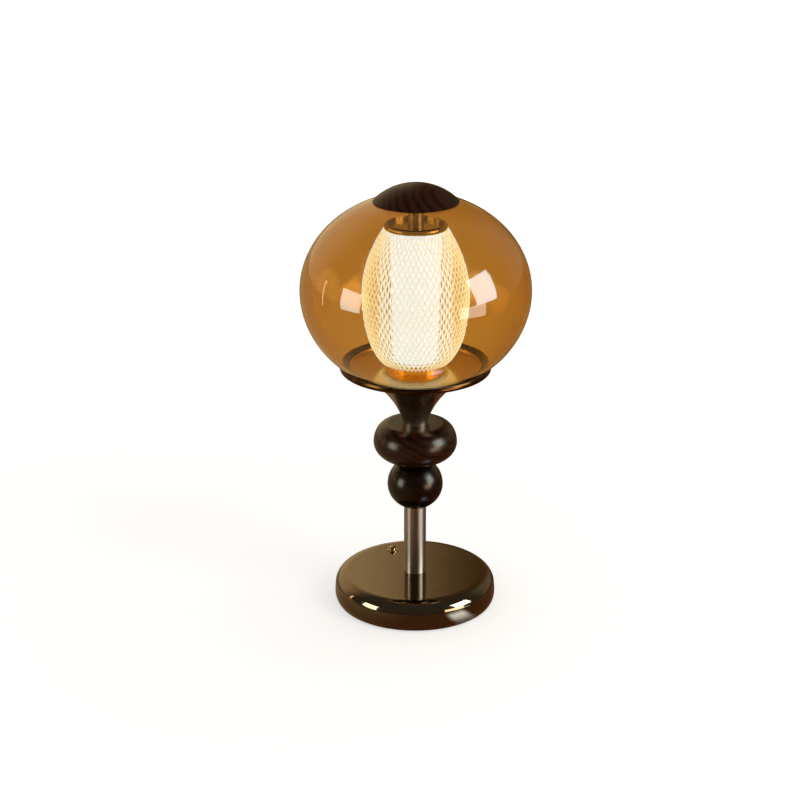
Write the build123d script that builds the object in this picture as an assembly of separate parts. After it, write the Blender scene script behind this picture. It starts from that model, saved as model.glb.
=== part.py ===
"""Cordless table lamp, in millimetres.

An amber glass globe stands on a metal dish over two turned wooden beads and a slim stem.
Inside the globe a clear, diamond-cut barrel surrounds a glowing opal tube, and a wooden cap
screws down on the threaded rod that clamps the whole stack together. The weighted base holds
two rechargeable cells, the charging board, a charge socket at the rear and a push button on top.

The origin is on the lamp's axis at table level. +Z is up, +X is right and +Y is the rear.
"""

import os
from math import asin, cos, degrees, pi, sin, sqrt

from build123d import *

CLEARANCE = 0.3  # between loose neighbours
FIT = 0.05  # radial, between a shaft and its bore

# Base shell
BASE_RADIUS = 72.3
BASE_HEIGHT = 26.7
BASE_WALL = 2.0
BASE_FOOT_RADIUS = BASE_RADIUS - 2.3
BAND_BELLY_HEIGHT = 8.0
CREASE_RADIUS = BASE_RADIUS - 0.6
CREASE_HEIGHT = 17.0
CREASE_DEPTH = 0.4
BASE_FLAT_RADIUS = BASE_RADIUS - 12.5
LIP_GAP = 0.8

# Base cover, foot ring, screws and ballast
COVER_THICKNESS = 2.0
COVER_RECESS = 1.0
FOOT_RING_OUTER = BASE_RADIUS - 7.3
FOOT_RING_INNER = FOOT_RING_OUTER - 7.0
FOOT_RING_HEIGHT = 1.6
BOSS_CIRCLE = BASE_RADIUS - 20.3
BOSS_RADIUS = 3.5
BOSS_ANGLES = (-30.0, 40.0, 140.0, 210.0)
COVER_SCREW_RADIUS = 1.5
COVER_SCREW_LENGTH = 9.0
COVER_SCREW_HEAD = 2.9
SCREW_SLOT = 0.6
BALLAST_RADIUS = BASE_RADIUS - 9.3
BALLAST_HEIGHT = 15.0
BALLAST_HUB_RADIUS = 14.0
BALLAST_REAR_EDGE = 22.0
BALLAST_REAR_WIDTH = 58.0
WIRE_CHANNEL_FLOOR = 6.0

# Battery
CELL_RADIUS = 9.2
CELL_LENGTH = 65.0
CELL_SPACING = 19.6
CELL_END = 1.0
CELL_CAP_RADIUS = 3.0
CELL_FOOT_RADIUS = 7.0
TRAY_WALL = 2.0
TRAY_FLOOR = 1.2
CONTACT_THICKNESS = 0.4
CONTACT_SIZE = 9.0
TRAY_RIM_GAP = 3.3

# Charging board and socket
BOARD_X = (-13.0, 25.0)
BOARD_Y = (30.0, 60.0)
BOARD_THICKNESS = 1.6
BOARD_HEIGHT = 8.0
BOARD_TONGUE_WIDTH = 14.0
BOARD_TONGUE_END = BASE_RADIUS - 4.8
BOARD_SCREWS = ((-9.5, 37.0), (21.5, 55.0))
BOARD_POST_RADIUS = 2.5
BOARD_SCREW_RADIUS = 1.2
BOARD_SCREW_HEAD = 1.4
CONNECTOR_WIDTH = 8.0
CONNECTOR_DEPTH = 5.0
CONNECTOR_HEIGHT = 5.0
LAMP_CONNECTOR_X = 0.0
BATTERY_CONNECTOR_X = 14.0
COIL_CENTRE = (5.0, 46.0)
COIL_RADIUS = 4.5
COIL_HEIGHT = 4.0
CHIP_CORNER = (12.0, 42.0)
CHIP_SIZE = 6.0
CHIP_HEIGHT = 1.2
CAPACITOR_X = (-8.0, -2.0)
CAPACITOR_Y = 53.0
CAPACITOR_RADIUS = 2.5
CAPACITOR_HEIGHT = 6.0
SOCKET_WIDTH = 8.94
SOCKET_THICKNESS = 3.26
SOCKET_LENGTH = 7.3
SOCKET_WALL = 0.3
SOCKET_BACK_WALL = 1.0
SOCKET_SET_BACK = 0.8
TONGUE_WIDTH = 6.69
TONGUE_THICKNESS = 0.7
TONGUE_LENGTH = 4.45
PORT_WIDTH = 13.0
PORT_HEIGHT = 7.0
PORT_FLANGE = 1.4
PORT_DEPTH = 6.0

# Push button
SWITCH_X = -20.4
SWITCH_Y = 41.5
BUTTON_RADIUS = 3.2
BUTTON_PRESSED_PROUD = 1.6
BUTTON_CROWN = 0.8
BUTTON_TRAVEL = 1.2
BUTTON_STEM = 5.0
BEZEL_RADIUS = 5.0
BEZEL_HEIGHT = 1.2
BEZEL_CHAMFER = 0.5
SWITCH_RADIUS = 4.0
SWITCH_DEPTH = 13.0
SWITCH_END_WALL = 2.0
SWITCH_NUT_RADIUS = 6.4
SWITCH_NUT_HEIGHT = 2.5
SPRING_WIRE = 0.4
SPRING_RADIUS = 2.2
SPRING_TURNS = 4

# Stem and through rod
ROD_RADIUS = 5.0
ROD_BORE = 3.5
ROD_TAIL = 8.0
THREAD_ENGAGEMENT = 5.0
NUT_RADIUS = 9.2
NUT_HEIGHT = 5.0
WASHER_RADIUS = 10.5
WASHER_THICKNESS = 1.5
STEM_RADIUS = 9.9
STEM_WALL = 1.2
STEM_LENGTH = 64.3
BUSH_HEIGHT = 8.0

# Wooden beads
LOWER_BEAD_RADIUS = 24.7
LOWER_BEAD_BELLY = 21.0
LOWER_BEAD_HEIGHT = 44.0
LOWER_BEAD_FOOT_FLAT = 10.1
LOWER_BEAD_TOP_FLAT = 9.0
UPPER_BEAD_RADIUS = 37.0
UPPER_BEAD_HEIGHT = 35.0
UPPER_BEAD_FOOT_FLAT = 14.0
UPPER_BEAD_TOP_FLAT = 24.0

# Trumpet and dish
TRUMPET_FOOT_RADIUS = 11.3
TRUMPET_TOP_RADIUS = 46.5
TRUMPET_HEIGHT = 49.0
TRUMPET_WALL = 1.5
FLARE_POWER = 1.66
DISH_RADIUS = 66.2
DISH_THICKNESS = 3.3
DISH_REBATE = 1.3
DISH_RIM_WIDEST = 3.6
DISH_RIM_ROUND = 2.7
DISH_RIM_LIFT = 1.2
LEDGE_INNER_RADIUS = 58.0
LEDGE_HEIGHT = 1.9
LEDGE_CHAMFER = 0.4
DISH_LIP_WIDTH = 1.3
DISH_LIP_HEIGHT = 1.0

# Glass globe and its seal
GLOBE_RADIUS = 100.0
GLOBE_DEPTH = 87.4
GLOBE_RISE = 84.0
GLOBE_MOUTH_RADIUS = 63.7
GLOBE_HOLE_RADIUS = 30.2
GLASS_THICKNESS = 2.2
SEAL_THICKNESS = 0.8

# Light: cup, heat sink, boards, opal tube and clear barrel
CUP_RADIUS = 23.0
CUP_HEIGHT = 4.2
CUP_WALL = 2.0
CUP_FLOOR = 1.0
CUP_FLANGE_RADIUS = 25.0
CUP_FLANGE_HEIGHT = 0.9
SPIGOT_HEIGHT = 3.0
TUBE_RADIUS = 25.6
TUBE_WALL = 2.0
HOLDER_THICKNESS = 1.2
HOLDER_SPIGOT = 3.0
SINK_ACROSS_FLATS = 24.0
SINK_BORE = 8.0
SINK_COLLAR_HEIGHT = 3.0
LED_BOARD_WIDTH = 10.0
LED_BOARD_THICKNESS = 1.0
LED_BOARD_MARGIN = 4.0
LED_CHIP_SIZE = 3.0
LED_CHIP_HEIGHT = 0.8
LED_CHIPS = 8
BARREL_FOOT_RADIUS = 25.0
BARREL_RADIUS = 46.0
BARREL_TOP_RADIUS = 27.0
BARREL_HEIGHT = 121.1
BARREL_BELLY = 61.5
BARREL_BOWL = 0.57
BARREL_WALL = 1.0
DIAMONDS_AROUND = 54
DIAMOND_ROWS = 28
DIAMOND_RELIEF = 0.5
RING_RADIUS = 27.2
RING_HEIGHT = 4.4
RING_INNER_RADIUS = 24.2
RING_FLOOR = 1.2
RING_SKIRT = 4.0
RING_WIDEST = 1.5
RING_UNDERCUT = 0.4
RING_CREST_RADIUS = 24.8
SKIRT_WALL = 1.5
SLEEVE_RADIUS = 6.6

# Wooden cap
CAP_RADIUS = 36.9
CAP_RISE = 15.6
CAP_EDGE = 0.5
CUSHION_INNER = 31.6
CUSHION_OUTER = 35.0
CUSHION_THICKNESS = 0.9
INSERT_RADIUS = 8.0
INSERT_HEIGHT = 10.0
INSERT_END_WALL = 2.0

# Leads held inside the lamp
LAMP_LEAD_RADIUS = 1.2
BATTERY_LEAD_RADIUS = 1.0
SWITCH_LEAD_RADIUS = 0.7
SWITCH_JOINT_INSET = 3.0
LEAD_BEND = 8.0
ROD_SLOT_WIDTH = 4.0
ROD_SLOT_LENGTH = 15.0

# Levels, from the table up
COVER_TOP = COVER_RECESS + COVER_THICKNESS
BASE_CEILING = BASE_HEIGHT - BASE_WALL
ROD_BOTTOM = BASE_CEILING - ROD_TAIL
STEM_TOP = BASE_HEIGHT + STEM_LENGTH
LOWER_BEAD_TOP = STEM_TOP + LOWER_BEAD_HEIGHT
UPPER_BEAD_TOP = LOWER_BEAD_TOP + UPPER_BEAD_HEIGHT
DISH_UNDERSIDE = UPPER_BEAD_TOP + TRUMPET_HEIGHT
DISH_FLOOR = DISH_UNDERSIDE + DISH_THICKNESS
LEDGE = DISH_FLOOR + LEDGE_HEIGHT
GLOBE_BOTTOM = LEDGE + SEAL_THICKNESS
BARREL_SEAT = DISH_FLOOR + CUP_HEIGHT
HOLDER_SEAT = BARREL_SEAT + SPIGOT_HEIGHT
TUBE_SEAT = HOLDER_SEAT + HOLDER_THICKNESS
BARREL_TOP = BARREL_SEAT + BARREL_HEIGHT
RING_TOP = BARREL_TOP + RING_HEIGHT
SINK_BOTTOM = TUBE_SEAT + SINK_COLLAR_HEIGHT
ROD_SLOT_BOTTOM = TUBE_SEAT
SINK_TOP = BARREL_TOP - RING_SKIRT - CLEARANCE

# Globe heights worked out from its ellipse
GLOBE_EQUATOR = GLOBE_BOTTOM + GLOBE_DEPTH * sqrt(1 - (GLOBE_MOUTH_RADIUS / GLOBE_RADIUS) ** 2)

# Sizes that follow a neighbour
ROD_HOLE = ROD_RADIUS + FIT
TRAY_HALF_LENGTH = CELL_LENGTH / 2 + CONTACT_THICKNESS + TRAY_WALL
TRAY_HALF_WIDTH = CELL_SPACING / 2 + CELL_RADIUS + TRAY_WALL
TRAY_CORNER_REACH = BASE_FOOT_RADIUS - BASE_WALL - TRAY_RIM_GAP
BATTERY_Y = TRAY_HALF_WIDTH - sqrt(TRAY_CORNER_REACH**2 - TRAY_HALF_LENGTH**2)
CELL_HEIGHT = COVER_TOP + TRAY_FLOOR + CELL_RADIUS
BOARD_TOP = BOARD_HEIGHT + BOARD_THICKNESS
LEAD_HEIGHT = BOARD_TOP + CONNECTOR_HEIGHT / 2
SOCKET_HEIGHT = BOARD_TOP + SOCKET_THICKNESS / 2
BUTTON_TOP = BASE_HEIGHT + BEZEL_HEIGHT + BUTTON_PRESSED_PROUD + BUTTON_TRAVEL
BUTTON_FOOT = BASE_HEIGHT - BUTTON_STEM
SWITCH_BOTTOM = BASE_HEIGHT - SWITCH_DEPTH
SWITCH_FLOOR = SWITCH_BOTTOM + SWITCH_END_WALL


def glass_top(radius):
    """Height of the globe's outer surface above its equator, at a distance from the axis."""
    return GLOBE_EQUATOR + GLOBE_RISE * sqrt(1 - (radius / GLOBE_RADIUS) ** 2)


CAP_EDGE_HEIGHT = glass_top(CAP_RADIUS) + CLEARANCE
CAP_TOP = CAP_EDGE_HEIGHT + CAP_RISE
CAP_PLUG_BOTTOM = glass_top(GLOBE_HOLE_RADIUS) - GLASS_THICKNESS + CLEARANCE
ROD_TOP = CAP_PLUG_BOTTOM + THREAD_ENGAGEMENT


def turned(edges):
    """Turn a closed outline of (radius, height) edges about the Z axis."""
    return revolve(Plane.XZ * make_face(edges), Axis.Z)


def turned_outline(*points):
    """Turn a closed outline of straight (radius, height) runs about the Z axis."""
    return turned(Polyline(*points, close=True))


def ring(inner, outer, low, high):
    """Plain ring about the Z axis."""
    return turned_outline((inner, low), (outer, low), (outer, high), (inner, high))


def rod_about(x, y, radius, low, high):
    """Upright round bar between two heights."""
    return Pos(x, y, low) * Cylinder(radius, high - low, align=(Align.CENTER, Align.CENTER, Align.MIN))


def block(x_range, y_range, z_range):
    """Box between two corners."""
    spans = (x_range, y_range, z_range)
    size = [high - low for low, high in spans]
    corner = [low for low, high in spans]
    return Pos(*corner) * Box(*size, align=(Align.MIN, Align.MIN, Align.MIN))


def ellipse_arc(centre, x_radius, y_radius, start, stop):
    """Part of an upright ellipse between two angles in degrees."""
    return EllipticalCenterArc(centre, x_radius, y_radius, start, arc_size=stop - start)


def around(angles, circle):
    """Points on a circle about the Z axis, at angles in degrees."""
    return [(circle * cos(angle * pi / 180), circle * sin(angle * pi / 180)) for angle in angles]


def hexagon_nut(radius, bore, low, high):
    """Hexagonal nut with its corners turned back at both faces."""
    prism = Pos(0, 0, low) * extrude(RegularPolygon(radius, 6), high - low)
    flat = radius * cos(pi / 6)
    chamfer = radius - flat
    barrel = turned_outline(
        (bore, low),
        (flat, low),
        (radius, low + chamfer / 2),
        (radius, high - chamfer / 2),
        (flat, high),
        (bore, high),
    )
    return prism & barrel


def lead(path, radius):
    """Round lead along a path."""
    start = Plane(origin=path @ 0, z_dir=path % 0)
    return sweep(start * Circle(radius), path=path)


def port_prism(width, height, inner, outer):
    """Stadium-shaped bar through the rear wall, centred on the charge socket."""
    window = Plane.XZ.offset(-outer) * (Pos(0, SOCKET_HEIGHT) * SlotOverall(width, height))
    return extrude(window, outer - inner)


# Base


def base_shell():
    """Turned metal shell with a flat top, round shoulder, crease and slightly bulged band."""
    outer_flat = (BASE_FLAT_RADIUS, BASE_HEIGHT)
    crease_low = (CREASE_RADIUS, CREASE_HEIGHT - CREASE_DEPTH)
    crease_high = (CREASE_RADIUS, CREASE_HEIGHT + CREASE_DEPTH)
    inner_crease = (CREASE_RADIUS - BASE_WALL, CREASE_HEIGHT)
    inner_flat = (BASE_FLAT_RADIUS, BASE_CEILING)
    belly = (BASE_RADIUS, BAND_BELLY_HEIGHT)
    foot = (BASE_FOOT_RADIUS, LIP_GAP)
    inner_foot = (BASE_FOOT_RADIUS - BASE_WALL, LIP_GAP)
    shell = turned(
        [
            Line((ROD_HOLE, BASE_HEIGHT), outer_flat),
            TangentArc(outer_flat, crease_high, tangent=(1, 0)),
            Polyline(crease_high, (CREASE_RADIUS - CREASE_DEPTH, CREASE_HEIGHT), crease_low),
            TangentArc(belly, crease_low, tangent=(0, 1)),
            TangentArc(belly, foot, tangent=(0, -1)),
            Line(foot, inner_foot),
            ThreePointArc(inner_foot, (BASE_RADIUS - BASE_WALL, BAND_BELLY_HEIGHT), inner_crease),
            TangentArc(inner_flat, inner_crease, tangent=(1, 0)),
            Polyline(inner_flat, (ROD_HOLE, BASE_CEILING), (ROD_HOLE, BASE_HEIGHT)),
        ]
    )
    for x, y in around(BOSS_ANGLES, BOSS_CIRCLE):
        shell += rod_about(x, y, BOSS_RADIUS, COVER_TOP, BASE_CEILING)
        shell -= rod_about(x, y, COVER_SCREW_RADIUS, COVER_TOP, COVER_TOP + COVER_SCREW_LENGTH)
    shell -= rod_about(SWITCH_X, SWITCH_Y, SWITCH_RADIUS + FIT, BASE_CEILING, BASE_HEIGHT)
    shell -= port_prism(
        PORT_WIDTH + 2 * FIT, PORT_HEIGHT + 2 * FIT, BASE_RADIUS - PORT_DEPTH, BASE_RADIUS
    )
    return shell


def bottom_cover():
    """Pressed steel plate under the base, with the foot ring's groove and two board posts."""
    cover = ring(0, BASE_FOOT_RADIUS - BASE_WALL - CLEARANCE, COVER_RECESS, COVER_TOP)
    cover -= ring(FOOT_RING_INNER, FOOT_RING_OUTER, COVER_RECESS, FOOT_RING_HEIGHT)
    for x, y in around(BOSS_ANGLES, BOSS_CIRCLE):
        cover -= rod_about(x, y, COVER_SCREW_RADIUS + FIT, COVER_RECESS, COVER_TOP)
        cover -= Pos(x, y) * screw_head(COVER_SCREW_RADIUS, COVER_SCREW_HEAD, FIT)
    for x, y in BOARD_SCREWS:
        cover += rod_about(x, y, BOARD_POST_RADIUS, COVER_TOP, BOARD_HEIGHT)
        cover -= rod_about(x, y, BOARD_SCREW_RADIUS, COVER_TOP, BOARD_HEIGHT)
    return cover


def screw_head(shank, head, gap):
    """Countersunk head that ends flush with the cover's underside."""
    depth = head - shank
    return turned_outline(
        (0, COVER_RECESS),
        (head + gap, COVER_RECESS),
        (shank + gap, COVER_RECESS + depth),
        (0, COVER_RECESS + depth),
    )


def cover_screws():
    """Four countersunk screws that hold the bottom cover to the shell's bosses."""
    screw = screw_head(COVER_SCREW_RADIUS, COVER_SCREW_HEAD, 0)
    screw += rod_about(0, 0, COVER_SCREW_RADIUS, COVER_RECESS, COVER_TOP + COVER_SCREW_LENGTH)
    half = SCREW_SLOT / 2
    slot_heights = (COVER_RECESS, COVER_RECESS + SCREW_SLOT)
    screw -= block((-COVER_SCREW_HEAD, COVER_SCREW_HEAD), (-half, half), slot_heights)
    return Compound([Pos(x, y) * screw for x, y in around(BOSS_ANGLES, BOSS_CIRCLE)])


def foot_ring():
    """Soft ring that the lamp stands on."""
    return ring(FOOT_RING_INNER, FOOT_RING_OUTER, 0, FOOT_RING_HEIGHT)


def base_weight():
    """Cast-iron ballast, open for the battery, the board, the bosses and the wires."""
    top = COVER_TOP + BALLAST_HEIGHT
    weight = ring(BALLAST_HUB_RADIUS, BALLAST_RADIUS, COVER_TOP, top)
    heights = (COVER_TOP, top)
    half_tray = TRAY_HALF_LENGTH + CLEARANCE
    battery_edges = (BATTERY_Y - TRAY_HALF_WIDTH - BASE_RADIUS, BATTERY_Y + TRAY_HALF_WIDTH + CLEARANCE)
    weight -= block((-half_tray, half_tray), battery_edges, heights)
    half_rear = BALLAST_REAR_WIDTH / 2
    weight -= block((-half_rear, half_rear), (BALLAST_REAR_EDGE, BASE_RADIUS), heights)
    for x, y in around(BOSS_ANGLES, BOSS_CIRCLE):
        weight -= rod_about(x, y, BOSS_RADIUS + 2 * CLEARANCE, COVER_TOP, top)
    channel_x = (LAMP_CONNECTOR_X - CONNECTOR_WIDTH / 2, BATTERY_CONNECTOR_X + CONNECTOR_WIDTH / 2)
    channel_y = (battery_edges[1] - CLEARANCE, BALLAST_REAR_EDGE + CLEARANCE)
    weight -= block(channel_x, channel_y, (COVER_TOP + WIRE_CHANNEL_FLOOR, top))
    return weight


# Battery


def cell_centres():
    """Where the two cells lie across the lamp."""
    return [BATTERY_Y - CELL_SPACING / 2, BATTERY_Y + CELL_SPACING / 2]


def lying_bar(y, radius, half_length):
    """Round bar along X at the height of the cells."""
    return Pos(0, y, CELL_HEIGHT) * Rot(0, 90, 0) * Cylinder(radius, 2 * half_length)


def battery_tray():
    """Moulded tray with a round-bottomed trough for each cell."""
    tray = block(
        (-TRAY_HALF_LENGTH, TRAY_HALF_LENGTH),
        (BATTERY_Y - TRAY_HALF_WIDTH, BATTERY_Y + TRAY_HALF_WIDTH),
        (COVER_TOP, CELL_HEIGHT),
    )
    for y in cell_centres():
        tray -= lying_bar(y, CELL_RADIUS + FIT, CELL_LENGTH / 2 + CONTACT_THICKNESS)
    return tray


def battery_cells():
    """Two rechargeable cells, each with its raised positive cap."""
    cells = []
    for side, y in zip((1, -1), cell_centres()):
        cell = lying_bar(y, CELL_RADIUS, CELL_LENGTH / 2 - CELL_END)
        for end, radius in ((side, CELL_CAP_RADIUS), (-side, CELL_FOOT_RADIUS)):
            x = end * (CELL_LENGTH - CELL_END) / 2
            cell += Pos(x, 0, 0) * lying_bar(y, radius, CELL_END / 2)
        cells.append(cell)
    return Compound(cells)


def battery_contacts():
    """Four sprung nickel tabs at the ends of the cells."""
    half = CONTACT_SIZE / 2
    heights = (CELL_HEIGHT - half, CELL_HEIGHT + half)
    tabs = []
    for y in cell_centres():
        for low in (-CELL_LENGTH / 2 - CONTACT_THICKNESS, CELL_LENGTH / 2):
            tabs.append(block((low, low + CONTACT_THICKNESS), (y - half, y + half), heights))
    return Compound(tabs)


# Charging board, socket and leads


def control_board():
    """Charging board with a tongue that carries the charge socket."""
    board = block(BOARD_X, BOARD_Y, (BOARD_HEIGHT, BOARD_TOP))
    half = BOARD_TONGUE_WIDTH / 2
    board += block((-half, half), (BOARD_Y[1], BOARD_TONGUE_END), (BOARD_HEIGHT, BOARD_TOP))
    for x, y in BOARD_SCREWS:
        board -= rod_about(x, y, BOARD_SCREW_RADIUS + FIT, BOARD_HEIGHT, BOARD_TOP)
    return board


def board_screws():
    """Two screws that hold the board on the cover's posts."""
    screws = []
    for x, y in BOARD_SCREWS:
        screw = rod_about(x, y, BOARD_SCREW_RADIUS, COVER_TOP, BOARD_TOP)
        screw += rod_about(x, y, 2 * BOARD_SCREW_RADIUS, BOARD_TOP, BOARD_TOP + BOARD_SCREW_HEAD)
        screws.append(screw)
    return Compound(screws)


def connector(x):
    """Wire connector at the board's front edge."""
    return block(
        (x - CONNECTOR_WIDTH / 2, x + CONNECTOR_WIDTH / 2),
        (BOARD_Y[0], BOARD_Y[0] + CONNECTOR_DEPTH),
        (BOARD_TOP, BOARD_TOP + CONNECTOR_HEIGHT),
    )


def board_components():
    """Connectors, coil, charger chip and capacitors on the board."""
    coil = rod_about(*COIL_CENTRE, COIL_RADIUS, BOARD_TOP, BOARD_TOP + COIL_HEIGHT)
    chip_x, chip_y = CHIP_CORNER
    chip = block(
        (chip_x, chip_x + CHIP_SIZE), (chip_y, chip_y + CHIP_SIZE), (BOARD_TOP, BOARD_TOP + CHIP_HEIGHT)
    )
    capacitors = [
        rod_about(x, CAPACITOR_Y, CAPACITOR_RADIUS, BOARD_TOP, BOARD_TOP + CAPACITOR_HEIGHT)
        for x in CAPACITOR_X
    ]
    sockets = [connector(LAMP_CONNECTOR_X), connector(BATTERY_CONNECTOR_X)]
    return Compound([coil, chip, *capacitors, *sockets])


def usb_socket():
    """Charge socket's metal shell, open at the rear and closed inside."""
    mouth = BASE_RADIUS - SOCKET_SET_BACK
    inside = mouth - SOCKET_LENGTH
    shell = port_prism(SOCKET_WIDTH, SOCKET_THICKNESS, inside, mouth)
    hollow = (SOCKET_WIDTH - 2 * SOCKET_WALL, SOCKET_THICKNESS - 2 * SOCKET_WALL)
    return shell - port_prism(*hollow, inside + SOCKET_BACK_WALL, mouth)


def socket_tongue():
    """Contact tongue in the middle of the charge socket."""
    root = BASE_RADIUS - SOCKET_SET_BACK - SOCKET_LENGTH + SOCKET_BACK_WALL
    half_width, half_thickness = TONGUE_WIDTH / 2, TONGUE_THICKNESS / 2
    heights = (SOCKET_HEIGHT - half_thickness, SOCKET_HEIGHT + half_thickness)
    return block((-half_width, half_width), (root, root + TONGUE_LENGTH), heights)


def port_bezel():
    """Dark moulded surround of the charge socket, flush with the base's wall."""
    face = BASE_RADIUS - CLEARANCE
    root = BASE_RADIUS - BASE_WALL - 2 * CLEARANCE
    deepest = BASE_RADIUS - PORT_DEPTH
    plug = port_prism(PORT_WIDTH, PORT_HEIGHT, deepest, BASE_RADIUS) & ring(root, face, 0, BASE_HEIGHT)
    flange = port_prism(PORT_WIDTH + 2 * PORT_FLANGE, PORT_HEIGHT + 2 * PORT_FLANGE, deepest, BASE_RADIUS)
    flange &= ring(root - PORT_FLANGE, root, 0, BASE_HEIGHT)
    window = (SOCKET_WIDTH + 2 * FIT, SOCKET_THICKNESS + 2 * FIT)
    return plug + flange - port_prism(*window, deepest, BASE_RADIUS)


def battery_lead():
    """Lead from the battery tray to the board."""
    start = (BATTERY_CONNECTOR_X, BOARD_Y[0], LEAD_HEIGHT)
    stop = (BATTERY_CONNECTOR_X, BATTERY_Y + TRAY_HALF_WIDTH, LEAD_HEIGHT)
    return lead(Line(start, stop), BATTERY_LEAD_RADIUS)


def lamp_lead():
    """Lead from the board, up the rod's bore and out of its slot to the light's boards."""
    gap_middle = (ROD_RADIUS + SINK_BORE) / 2
    path = FilletPolyline(
        (LAMP_CONNECTOR_X, BOARD_Y[0], LEAD_HEIGHT),
        (0, 0, LEAD_HEIGHT),
        (0, 0, ROD_SLOT_BOTTOM),
        (gap_middle, 0, ROD_SLOT_BOTTOM + ROD_SLOT_LENGTH * 3 / 4),
        (gap_middle, 0, ROD_SLOT_BOTTOM + ROD_SLOT_LENGTH * 3 / 2),
        radius=LEAD_BEND,
    )
    return lead(path, LAMP_LEAD_RADIUS)


def switch_lead():
    """Lead from the push switch to the underside of the board."""
    low = (COVER_TOP + BOARD_HEIGHT) / 2
    joint_x = BOARD_X[0] + SWITCH_JOINT_INSET
    path = FilletPolyline(
        (SWITCH_X, SWITCH_Y, SWITCH_BOTTOM),
        (SWITCH_X, SWITCH_Y, low),
        (joint_x, SWITCH_Y, low),
        (joint_x, SWITCH_Y, BOARD_HEIGHT),
        radius=3 * SWITCH_LEAD_RADIUS,
    )
    return lead(path, SWITCH_LEAD_RADIUS)


# Push switch


def switch_body():
    """Threaded switch barrel through the base's top, with its bezel on the outside."""
    bore = BUTTON_RADIUS + FIT
    rim = BASE_HEIGHT + BEZEL_HEIGHT
    body = turned_outline(
        (0, SWITCH_BOTTOM),
        (SWITCH_RADIUS, SWITCH_BOTTOM),
        (SWITCH_RADIUS, BASE_HEIGHT),
        (BEZEL_RADIUS, BASE_HEIGHT),
        (BEZEL_RADIUS, rim - BEZEL_CHAMFER),
        (BEZEL_RADIUS - BEZEL_CHAMFER, rim),
        (bore, rim),
        (bore, SWITCH_FLOOR),
        (0, SWITCH_FLOOR),
    )
    return Pos(SWITCH_X, SWITCH_Y) * body


def switch_nut():
    """Hexagonal nut that clamps the switch under the base's top."""
    nut = hexagon_nut(SWITCH_NUT_RADIUS, SWITCH_RADIUS + FIT, BASE_CEILING - SWITCH_NUT_HEIGHT, BASE_CEILING)
    return Pos(SWITCH_X, SWITCH_Y) * nut


def switch_button():
    """Domed push button."""
    crown = BUTTON_TOP - BUTTON_CROWN
    button = turned(
        [
            Polyline((0, BUTTON_FOOT), (BUTTON_RADIUS, BUTTON_FOOT), (BUTTON_RADIUS, crown)),
            TangentArc((0, BUTTON_TOP), (BUTTON_RADIUS, crown), tangent=(1, 0)),
            Line((0, BUTTON_TOP), (0, BUTTON_FOOT)),
        ]
    )
    return Pos(SWITCH_X, SWITCH_Y) * button


def switch_spring():
    """Return spring under the button."""
    low = SWITCH_FLOOR + SPRING_WIRE / 2 + FIT
    height = BUTTON_FOOT - low - SPRING_WIRE / 2 - FIT
    path = Helix(pitch=height / SPRING_TURNS, height=height, radius=SPRING_RADIUS)
    coil = sweep(Plane(origin=path @ 0, z_dir=path % 0) * Circle(SPRING_WIRE / 2), path=path)
    return Pos(SWITCH_X, SWITCH_Y, low) * coil


# Stem and through rod


def centre_rod():
    """Hollow threaded rod that clamps the whole lamp, slotted for the light's lead."""
    rod = ring(ROD_BORE, ROD_RADIUS, ROD_BOTTOM, ROD_TOP)
    half = ROD_SLOT_WIDTH / 2
    slot_heights = (ROD_SLOT_BOTTOM, ROD_SLOT_BOTTOM + ROD_SLOT_LENGTH)
    return rod - block((0, ROD_RADIUS), (-half, half), slot_heights)


def base_washer():
    """Washer under the base's top."""
    return ring(ROD_HOLE, WASHER_RADIUS, BASE_CEILING - WASHER_THICKNESS, BASE_CEILING)


def base_nut():
    """Nut under the base's top."""
    top = BASE_CEILING - WASHER_THICKNESS
    return hexagon_nut(NUT_RADIUS, ROD_HOLE, top - NUT_HEIGHT, top)


def stem_tube():
    """Slim metal column between the base and the lower bead."""
    return ring(STEM_RADIUS - STEM_WALL, STEM_RADIUS, BASE_HEIGHT, STEM_TOP)


def stem_bushes():
    """Two turned rings that centre the column on the rod."""
    outer = STEM_RADIUS - STEM_WALL - FIT
    lows = (BASE_HEIGHT, STEM_TOP - BUSH_HEIGHT)
    return Compound([ring(ROD_HOLE, outer, low, low + BUSH_HEIGHT) for low in lows])


# Wooden beads


def lower_bead():
    """Nearly round wooden bead, flat where it meets the column and the bead above."""
    belly = STEM_TOP + LOWER_BEAD_BELLY
    foot_share = LOWER_BEAD_FOOT_FLAT / LOWER_BEAD_RADIUS
    top_share = LOWER_BEAD_TOP_FLAT / LOWER_BEAD_RADIUS
    depth = LOWER_BEAD_BELLY / sqrt(1 - foot_share**2)
    rise = (LOWER_BEAD_HEIGHT - LOWER_BEAD_BELLY) / sqrt(1 - top_share**2)
    foot_angle = -degrees(asin(LOWER_BEAD_BELLY / depth))
    top_angle = degrees(asin((LOWER_BEAD_HEIGHT - LOWER_BEAD_BELLY) / rise))
    lower = ellipse_arc((0, belly), LOWER_BEAD_RADIUS, depth, foot_angle, 0)
    upper = ellipse_arc((0, belly), LOWER_BEAD_RADIUS, rise, 0, top_angle)
    bore = [(ROD_HOLE, LOWER_BEAD_TOP), (ROD_HOLE, STEM_TOP)]
    return turned([lower, upper, Polyline(upper @ 1, *bore, lower @ 0)])


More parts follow.
